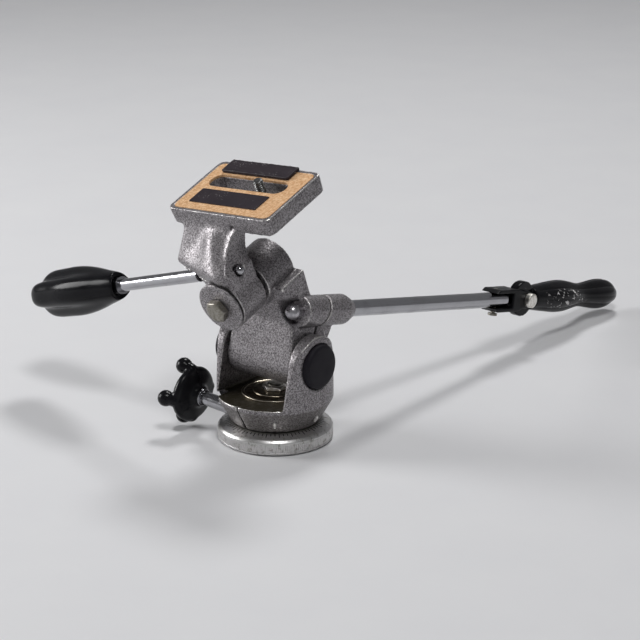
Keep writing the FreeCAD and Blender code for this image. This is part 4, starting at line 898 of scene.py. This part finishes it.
# %% Turn the base disc
pan_axis = axis_frame("pan")
TEETH = 160
TOOTH_DEPTH = 0.36
RIM = 36.0
GROOVE = 35.7
SHOULDER = 27.7
SHOULDER_END = 34.6
SHOULDER_LOW = 10.2
DISC_TOP = 12.3
HUB = 18.5
disc = turned("base_disc_turned", pan_axis, [
    (0, 11), (4, 11), (4, 0.9), (4.9, 0), (13, 0), (13, 2.5), (29, 2.5), (29, 0), (34.4, 0, 0.5),
    (RIM, 1.6, 0.8), (RIM, 2.3, 0.1), (GROOVE, 2.4), (GROOVE, 2.6), (RIM, 2.7),
    (RIM, 7.2), (GROOVE, 7.3), (GROOVE, 7.5), (RIM, 7.6, 0.1), (RIM, 8.4, 0.7),
    (SHOULDER_END, SHOULDER_LOW, 1.4), (SHOULDER, DISC_TOP, 0.2), (HUB, DISC_TOP), (HUB, 23.6),
    (5, 23.6), (5, 13), (0, 13),
], aluminium, sides=2 * TEETH, knurl=(2.65, 7.25, TOOTH_DEPTH, RIM - 0.1))
stand_in(disc, "base_disc")

# %% [markdown]
# ## The scale
# The shoulder of the disc is engraved every five degrees, with a longer line every fifteen.  Cutting 72
# grooves into the disc would cost many faces, so each line is a thin bar of black wax that lies almost flush
# in the shoulder, as wax fills a real engraving.  The bars lean with the shoulder.

# %% Engrave the scale
LINE_EVERY = 5
LONG_EVERY = 15
LONG_LINE = 3.6
SHORT_LINE = 2.2
LINE_WIDTH = 0.55
LINE_INSET = 0.6
LINE_STAND = 0.08
shoulder_lean = math.atan2(DISC_TOP - SHOULDER_LOW, SHOULDER_END - SHOULDER)


def scale_lines(name, finish):
    """Thin bars on the shoulder of the disc."""
    shape = bmesh.new()
    for degrees in range(0, 360, LINE_EVERY):
        length = SHORT_LINE if degrees % LONG_EVERY else LONG_LINE
        out = LINE_INSET + length / 2
        middle = Vector((SHOULDER + out, 0, DISC_TOP + 0.01 - out * math.tan(shoulder_lean)))
        spin = Matrix.Rotation(math.radians(degrees), 4, "Z") @ Matrix.Translation(middle * MM)
        size = Matrix.Diagonal((length * MM, LINE_WIDTH * MM, LINE_STAND * MM, 1))
        bar = bmesh.ops.create_cube(shape, size=1.0)["verts"]
        bmesh.ops.transform(shape, matrix=spin @ Matrix.Rotation(shoulder_lean, 4, "Y") @ size, verts=bar)
    mesh = mesh_of(name, shape)
    mesh.materials.append(finish)
    return bpy.data.objects.new(name, mesh)


go_with(scale_lines("scale_lines", wax), "base_disc")
print("scale lines:", 360 // LINE_EVERY)

# %% [markdown]
# ## The pivot on the yoke's floor
# A dished spring washer, a nut and the end of the post hold the yoke down.  The washer has two steps, and
# its lips are rubbed bright, while the flats between them have browned.

# %% Turn the washer and round the nut
POST_HOLE = 5.15
DISH = 7.3
low, _, radius = reach("pan_spring_washer", pan_axis)
stand_in(turned("pan_spring_washer_turned", pan_axis, [
    (POST_HOLE, low + 1.3), (DISH, low + 1.3), (20.2, low), (radius, low, 0.2), (radius, low + 1.0, 0.5),
    (radius - 1.7, low + 1.05, 0.3), (radius - 2.2, low + 0.75), (14.0, low + 1.35), (13.7, low + 1.78, 0.3),
    (DISH, low + 2.4), (POST_HOLE, low + 2.4),
], brown_steel, bright_rim), "pan_spring_washer")
cast_skin("pan_nut", nut_steel, voxel=0.25, rounds=2)
cast_skin("pan_post", steel, voxel=0.3, rounds=2)

# %% [markdown]
# ## Caps and end disc
# The rubber caps on the ears and the disc at the end of the spindle get their round lips from the same lathe.
# Each profile starts from how far the solid reaches, so that the piece fills exactly the same room.

# %% Turn the caps and the end disc
WALL = 1.6
for side, sign in (("left", -1), ("right", 1)):
    seat = axis_frame("tilt", sign)
    low, high, radius = reach("ear_cap_" + side, seat)
    stand_in(turned(f"ear_cap_{side}_turned", seat, [
        (radius - WALL, low), (radius - 0.1, low, 0.2), (radius, low + 1.2, 0.4),
        (radius - 0.2, high - 1.4, 0.9), (radius - 1.5, high - 0.25, 1.2), (radius * 0.55, high, 1.5),
        (0, high), (0, high - WALL), (radius - WALL, high - WALL), (radius - WALL, low),
    ], rubber), "ear_cap_" + side)

BOLT_HOLE = 3.15
spindle = axis_frame("side_tilt", -1)
low, high, radius = reach("side_tilt_end_disc", spindle)
stand_in(turned("side_tilt_end_disc_turned", spindle, [
    (BOLT_HOLE, low), (radius - 0.2, low, 0.2), (radius, high - 0.5, 0.5), (radius - 0.9, high, 0.5),
    (BOLT_HOLE, high), (BOLT_HOLE, low),
], paint, worn_disc), "side_tilt_end_disc")
cast_skin("side_tilt_bolt", steel, voxel=0.25, rounds=2)

# %% [markdown]
# ## Ball nuts
# A ball nut lets its handle lean while it pulls square.  It is a ball with a stem and a blind bore for the
# screw, and a uv sphere would leave its stem to be joined on, so both come from one profile in small steps.

# %% Turn the ball nuts
# ten degrees a step, of which the stem hides the last four; radii in millimetres
BALL_STEPS = 18
STEM_STEPS = 4
TILT_SCREW = 3.35
SIDE_STEM = 2.5
SIDE_SCREW = 2.05


def ball_nut(node_name, place, stem_radius, screw_radius, finish):
    """A ball with a stem; the ball looks along -Z."""
    low, high, radius = reach(node_name, place)
    middle = low + radius
    corners = [(0, low)]
    for step in range(1, BALL_STEPS - STEM_STEPS + 1):
        angle = math.pi * step / BALL_STEPS
        corners.append((radius * math.sin(angle), middle - radius * math.cos(angle)))
    corners += [(stem_radius, middle + math.sqrt(radius ** 2 - stem_radius ** 2)), (stem_radius, high),
                (screw_radius, high), (screw_radius, middle), (0, middle)]
    stand_in(turned(node_name + "_turned", place, corners, finish), node_name)


ball_nut("tilt_ball_nut", barrel, STEM, TILT_SCREW, satin)
ball_nut("side_ball_nut", axis_frame("side_handle_turn"), SIDE_STEM, SIDE_SCREW, plating)

# %% [markdown]
# ## The camera screw
# A quarter inch camera screw has twenty turns to the inch, one every 1.27 mm.  The thread is a tube whose
# radius rises and falls once per turn and once per 1.27 mm, which makes a true helix.  Stacked rings would
# be quicker, but they look like a pile of washers.

# %% Cut the thread
PITCH = 1.27
CORE = 2.6
THREAD_LOW = -4.0
THREAD_SIDES = 40
THREAD_ROWS = 8
THREAD_SHARP = math.radians(50)
LEAD = 0.8


def thread_mesh(name, place, low, high, outer):
    """A thread about Z, eight rings to the turn, that draws in over its last part."""
    shape = bmesh.new()
    count = round((high - low) / PITCH * THREAD_ROWS)
    rings = []
    for row in range(count + 1):
        z = low + (high - low) * row / count
        taper = 0.82 + 0.18 * min(1, (high - z) / LEAD)
        radii = []
        for side in range(THREAD_SIDES):
            wave = (z / PITCH - side / THREAD_SIDES) % 1
            crest = min(1, max(0, 1.6 - 3.2 * abs(wave - 0.5)))
            radii.append((CORE + (outer - CORE) * crest) * taper)
        rings.append(ring_of(shape, place, radii, z))
    for ring, other in zip(rings, rings[1:]):
        bridge(shape, ring, other, THREAD_SIDES)
    shape.faces.new(rings[-1])
    shape.faces.new(list(reversed(rings[0])))
    mesh = mesh_of(name, shape)
    mesh.shade_smooth()
    mesh.set_sharp_from_angle(angle=THREAD_SHARP)
    return mesh


screw_place = axis_frame("camera_screw_turn")
low, high, radius = reach("camera_screw", screw_place)
mesh = thread_mesh("camera_screw_thread", screw_place, THREAD_LOW, high, radius)
mesh.materials.append(screw_steel)
stand_in(bpy.data.objects.new("camera_screw_thread", mesh), "camera_screw")
shank_top = THREAD_LOW + 0.1
go_with(turned("camera_screw_shank", screw_place, [
    (0, low), (CORE, low), (CORE, shank_top), (0, shank_top),
], screw_steel, sides=32), "camera_screw")
cast_skin("camera_knob", plastic, voxel=0.4, rounds=3)
print("camera screw from", round(low, 1), "to", round(high, 1))

# %% [markdown]
# ## The pan lock knob
# The lobed knob comes out of a mould, so its edges are soft and its lobes flow into one another.  It is put
# together from a dished disc, four balls and four short necks, wrapped in one skin and smoothed until the
# joins are gone.  Its solid says where the lobes stand: the points that reach furthest out are on them, and
# four times their angle has the same direction for all.

# %% Mould the knob
# radii of the balls and necks, and how far their middles lie below the top of the knob
LOBES = 4
BALL, BALL_DOWN = 5.3, 5.4
NECK, NECK_DOWN = 4.3, 10.2
NECK_STRETCH = 1.35


def ball_mesh(place, radius, stretch=(1, 1, 1)):
    """A ball, which may be stretched along its own axes."""
    shape = bmesh.new()
    bmesh.ops.create_uvsphere(shape, u_segments=32, v_segments=20, radius=radius * MM)
    bmesh.ops.transform(shape, matrix=place @ Matrix.Diagonal((*stretch, 1)), verts=shape.verts)
    return mesh_of("ball", shape)


def settle(piece, rounds):
    """Smooths a wrapped piece all over."""
    mesh = piece.data
    mesh.vertices.foreach_set("co", relaxed(read(mesh), edge_pairs(mesh), rounds).ravel())
    mesh.update()
    mesh.shade_smooth()


lock = axis_frame("pan_lock")
low, high, knob_reach = reach("pan_lock_knob", lock)
_, _, rod_radius = reach("pan_lock_rod", lock)
outline = seen_from(lock, read(frame["nodes"]["pan_lock_knob"].data))
outline = outline[np.hypot(outline[:, 0], outline[:, 1]) > knob_reach - 0.5]
turns = LOBES * np.arctan2(outline[:, 1], outline[:, 0])
knob_turn = math.atan2(np.sin(turns).sum(), np.cos(turns).sum()) / LOBES
disc_back = low + 11.0
lobe_middle = knob_reach - 5.2
parts = [lathe_mesh("knob_disc", lock, [
    (rod_radius, low), (6.2, low, 0.8), (7.6, low + 3.0, 2.0), (16.4, low + 5.4, 3.0), (18.0, low + 7.2, 1.6),
    (17.0, disc_back, 1.8), (8, disc_back + 1.2, 3.0), (0, disc_back + 1.2), (0, low + 8),
    (rod_radius, low + 8), (rod_radius, low),
])]
for lobe in range(LOBES):
    spin = lock @ Matrix.Rotation(knob_turn + lobe * 2 * math.pi / LOBES, 4, "Z")
    ball = spin @ Matrix.Translation(Vector((lobe_middle, 0, high - BALL_DOWN)) * MM)
    parts.append(ball_mesh(ball, BALL))
    neck = spin @ Matrix.Translation(Vector((lobe_middle - 1.2, 0, high - NECK_DOWN)) * MM)
    parts.append(ball_mesh(neck, NECK, (1, 1, NECK_STRETCH)))
knob = wrapped("pan_lock_knob_moulded", parts, 0.55)
settle(knob, 10)
knob.data.materials.append(plastic)
stand_in(knob, "pan_lock_knob")
print("knob lobes at", round(math.degrees(knob_turn), 1), "degrees, reach", round(knob_reach, 1))

# %% [markdown]
# ## The collar of the lock rod
# A thin plated collar closes the bore of the knob where the rod enters it.

# %% Turn the collar
COLLAR = 1.1
go_with(turned("pan_lock_collar", lock, [
    (rod_radius, low - 1.2), (rod_radius + COLLAR, low - 1.2, 0.4), (rod_radius + COLLAR, low + 0.3),
    (rod_radius, low + 0.3),
], plating), "pan_lock_rod")

# %% [markdown]
# ## The left grip
# The grip of the side handle is a glossy moulding with three soft lobes.  The real one is a little smaller
# than its solid, so the skin is drawn in towards the grip's own axis and middle.  A scaled object would do
# the same but would also narrow the mouth, which has to stay as wide as its ferrule.

# %% Mould the left grip
handle = axis_frame("side_handle_turn")
grip_start, grip_end, _ = reach("side_grip", handle)
GRIP_SHARE = 0.94


def draw_in(points):
    """The grip a little slimmer and shorter about its middle, but as wide as before at its mouth."""
    start = np.array(handle)[:3, 3]
    direction = np.array(handle)[:3, 2]
    local = points - start
    along = local @ direction
    middle = 0.5 * (grip_start + grip_end) * MM
    share = smooth_step(along / MM, grip_start + 2, grip_start + 20)[:, None]
    slimmer = (local - np.outer(along, direction)) * (1 - (1 - GRIP_SHARE) * share)
    return start + slimmer + np.outer(middle + GRIP_SHARE * (along - middle), direction)


cast_skin("side_grip", handled_plastic, voxel=0.7, rounds=3, sculpt=draw_in)
print("left grip", round(GRIP_SHARE * (grip_end - grip_start), 1), "mm long")

# %% [markdown]
# ## The folding grip
# Shallow grooves run along the folding grip so that it doesn't turn in a wet hand.  They start past its
# shoulder and end before its tip.  The grip leans in space, so its own directions are found from its points:
# they spread most along its length and least across its thin side.

# %% Mould the folding grip
FLUTES = 8
FLUTE_DEPTH = 0.6
FLUTE_HALF = 0.42


def flute(points):
    """Shallow grooves along the folding grip, from its shoulder to its end."""
    middle = points.mean(axis=0)
    length, wide, high = np.linalg.svd(points - middle, full_matrices=False)[2]
    length = length if length[1] > 0 else -length
    local = points - middle
    along = local @ length / MM
    turn = np.arctan2(local @ high, local @ wide)
    groove = np.clip(1 - np.abs(np.sin(0.5 * FLUTES * turn)) / FLUTE_HALF, 0, 1) ** 2
    share = smooth_step(along, along.min() + 22, along.min() + 36)
    share *= 1 - smooth_step(along, along.max() - 12, along.max())
    inwards = local - np.outer(local @ length, length)
    inwards /= np.maximum(np.linalg.norm(inwards, axis=1), 1e-6)[:, None]
    return points - inwards * (FLUTE_DEPTH * MM * groove * share)[:, None]


cast_skin("folding_grip", scuffed_plastic, voxel=0.5, rounds=2, sculpt=flute)

# %% [markdown]
# ## The knuckle, its pin and the rear strip
# The knuckle is enamelled, so its edges are as soft as its thick paint.  The pin that the grip folds on has a
# bright head with a turned lip.  The rear strip on the plate is thick enough for its edges to show, so it
# gets a soft skin as well.

# %% Finish the hinge and the strip
cast_skin("handle_knuckle", enamel, voxel=0.4, rounds=3)
cast_skin("rear_strip", tape, voxel=0.4, rounds=4)
fold = axis_frame("grip_fold")
low, high, radius = reach("fold_pin", fold)
PIN = 2.6
PIN_HEAD = 4.2
stand_in(turned("fold_pin_turned", fold, [
    (0, low), (PIN, low), (PIN, high - PIN_HEAD), (radius, high - PIN_HEAD, 0.2), (radius, high - 0.5, 0.5),
    (radius - 0.7, high, 0.4), (0, high),
], nut_steel), "fold_pin")

# %% [markdown]
# ## The floor
# A single wide round sheet serves as floor and backdrop.  Its rim curves up on every side, so no line shows
# where the two meet.  Far from the lamps the paper glows a little to the camera and to mirrors, which keeps
# it pale without any more light on the head.  A round sheet is a turned piece like any other, so the lathe
# makes it.

# %% Roll out the sheet
# how far the sheet reaches and rises, and the radius of its bend, in millimetres
SHEET_REACH = 6000.0
SHEET_BEND = 1500.0
SHEET_HEIGHT = 4000.0
BEND_STEPS = 16
PAPER = (0.74, 0.74, 0.76, 1)
PALE_PAPER = (0.78, 0.78, 0.79, 1)
GLOW = (0.98, 0.98, 1.0, 1)
# how strongly the paper glows, and in metres from the head where that begins and where it is full
GLOW_STRENGTH = 0.12
GLOW_FROM = 0.6
GLOW_FULL = 3.2


def paper(name):
    """Matt pale paper with a hardly visible tooth, which glows a little as painted light out of the reach of
    the lamps, so that it stays pale there.
    """
    material, tree, shader, where = new_finish(name, roughness=0.95)
    give(tree, shader, Base_Color=mix(tree, noise(tree, where, 60.0), PAPER, PALE_PAPER))
    dents(tree, shader, noise(tree, where, 1.0), 0.03)
    path = add(tree, "LightPath").node
    seen = calculate(tree, "MAXIMUM", path.outputs["Is Camera Ray"], path.outputs["Is Glossy Ray"])
    seen = calculate(tree, "MAXIMUM", seen, path.outputs["Is Transmission Ray"])
    place = add(tree, "SeparateXYZ", Vector=where).node
    flat = add(tree, "CombineXYZ", a=place.outputs["X"], b=place.outputs["Y"])
    away = add(tree, "VectorMath", output="Value", operation="LENGTH", a=flat)
    far = span(tree, away, GLOW_FROM, GLOW_FULL, 0.0, GLOW_STRENGTH)
    shader.inputs["Emission Color"].default_value = GLOW
    give(tree, shader, Emission_Strength=calculate(tree, "MULTIPLY", far, seen))
    return material


profile = [(0, 0), (SHEET_BEND, 0)]
for step in range(BEND_STEPS + 1):
    angle = 0.5 * math.pi * step / BEND_STEPS
    profile.append((SHEET_REACH - SHEET_BEND * (1 - math.sin(angle)), SHEET_BEND * (1 - math.cos(angle))))
profile.append((SHEET_REACH, SHEET_HEIGHT))
sheet = turned("paper_sheet", Matrix(), profile, paper("pale_paper"))
scene.collection.objects.link(sheet)

# %% [markdown]
# ## Light
# Three round lamps light the head as in a small studio.  A wide low one at the left models the castings, a
# high one at the front right opens the shadows, and one behind draws pale streaks along the rods and rims,
# which make them look like metal.  A lamp half a metre wide or more gives a shadow a soft edge.  The room
# itself adds only a little, or the shadows would be grey.

# %% Hang the lamps
LAMP_AIM = Vector((0, 0, 0.07))
ROOM = (0.82, 0.83, 0.85, 1)
ROOM_STRENGTH = 0.10


def hang_lamp(name, place, width, power):
    """A round lamp that looks at the head; places and widths are in metres."""
    light = bpy.data.lights.new(name, "AREA")
    light.shape = "DISK"
    light.size = width
    light.energy = power
    lamp = bpy.data.objects.new(name, light)
    lamp.location = place
    lamp.rotation_euler = (LAMP_AIM - lamp.location).to_track_quat("-Z", "Y").to_euler()
    scene.collection.objects.link(lamp)


hang_lamp("left_lamp", (-1.45, -0.75, 0.60), 0.8, 19)
hang_lamp("high_lamp", (0.66, -0.60, 1.65), 0.45, 11)
hang_lamp("back_lamp", (-0.38, 0.95, 1.6), 0.45, 12)

world = bpy.data.worlds.new("room")
world.use_nodes = True
scene.world = world
sky = world.node_tree.nodes["Background"]
sky.inputs["Color"].default_value = ROOM
sky.inputs["Strength"].default_value = ROOM_STRENGTH
scene.view_settings.view_transform = "Standard"
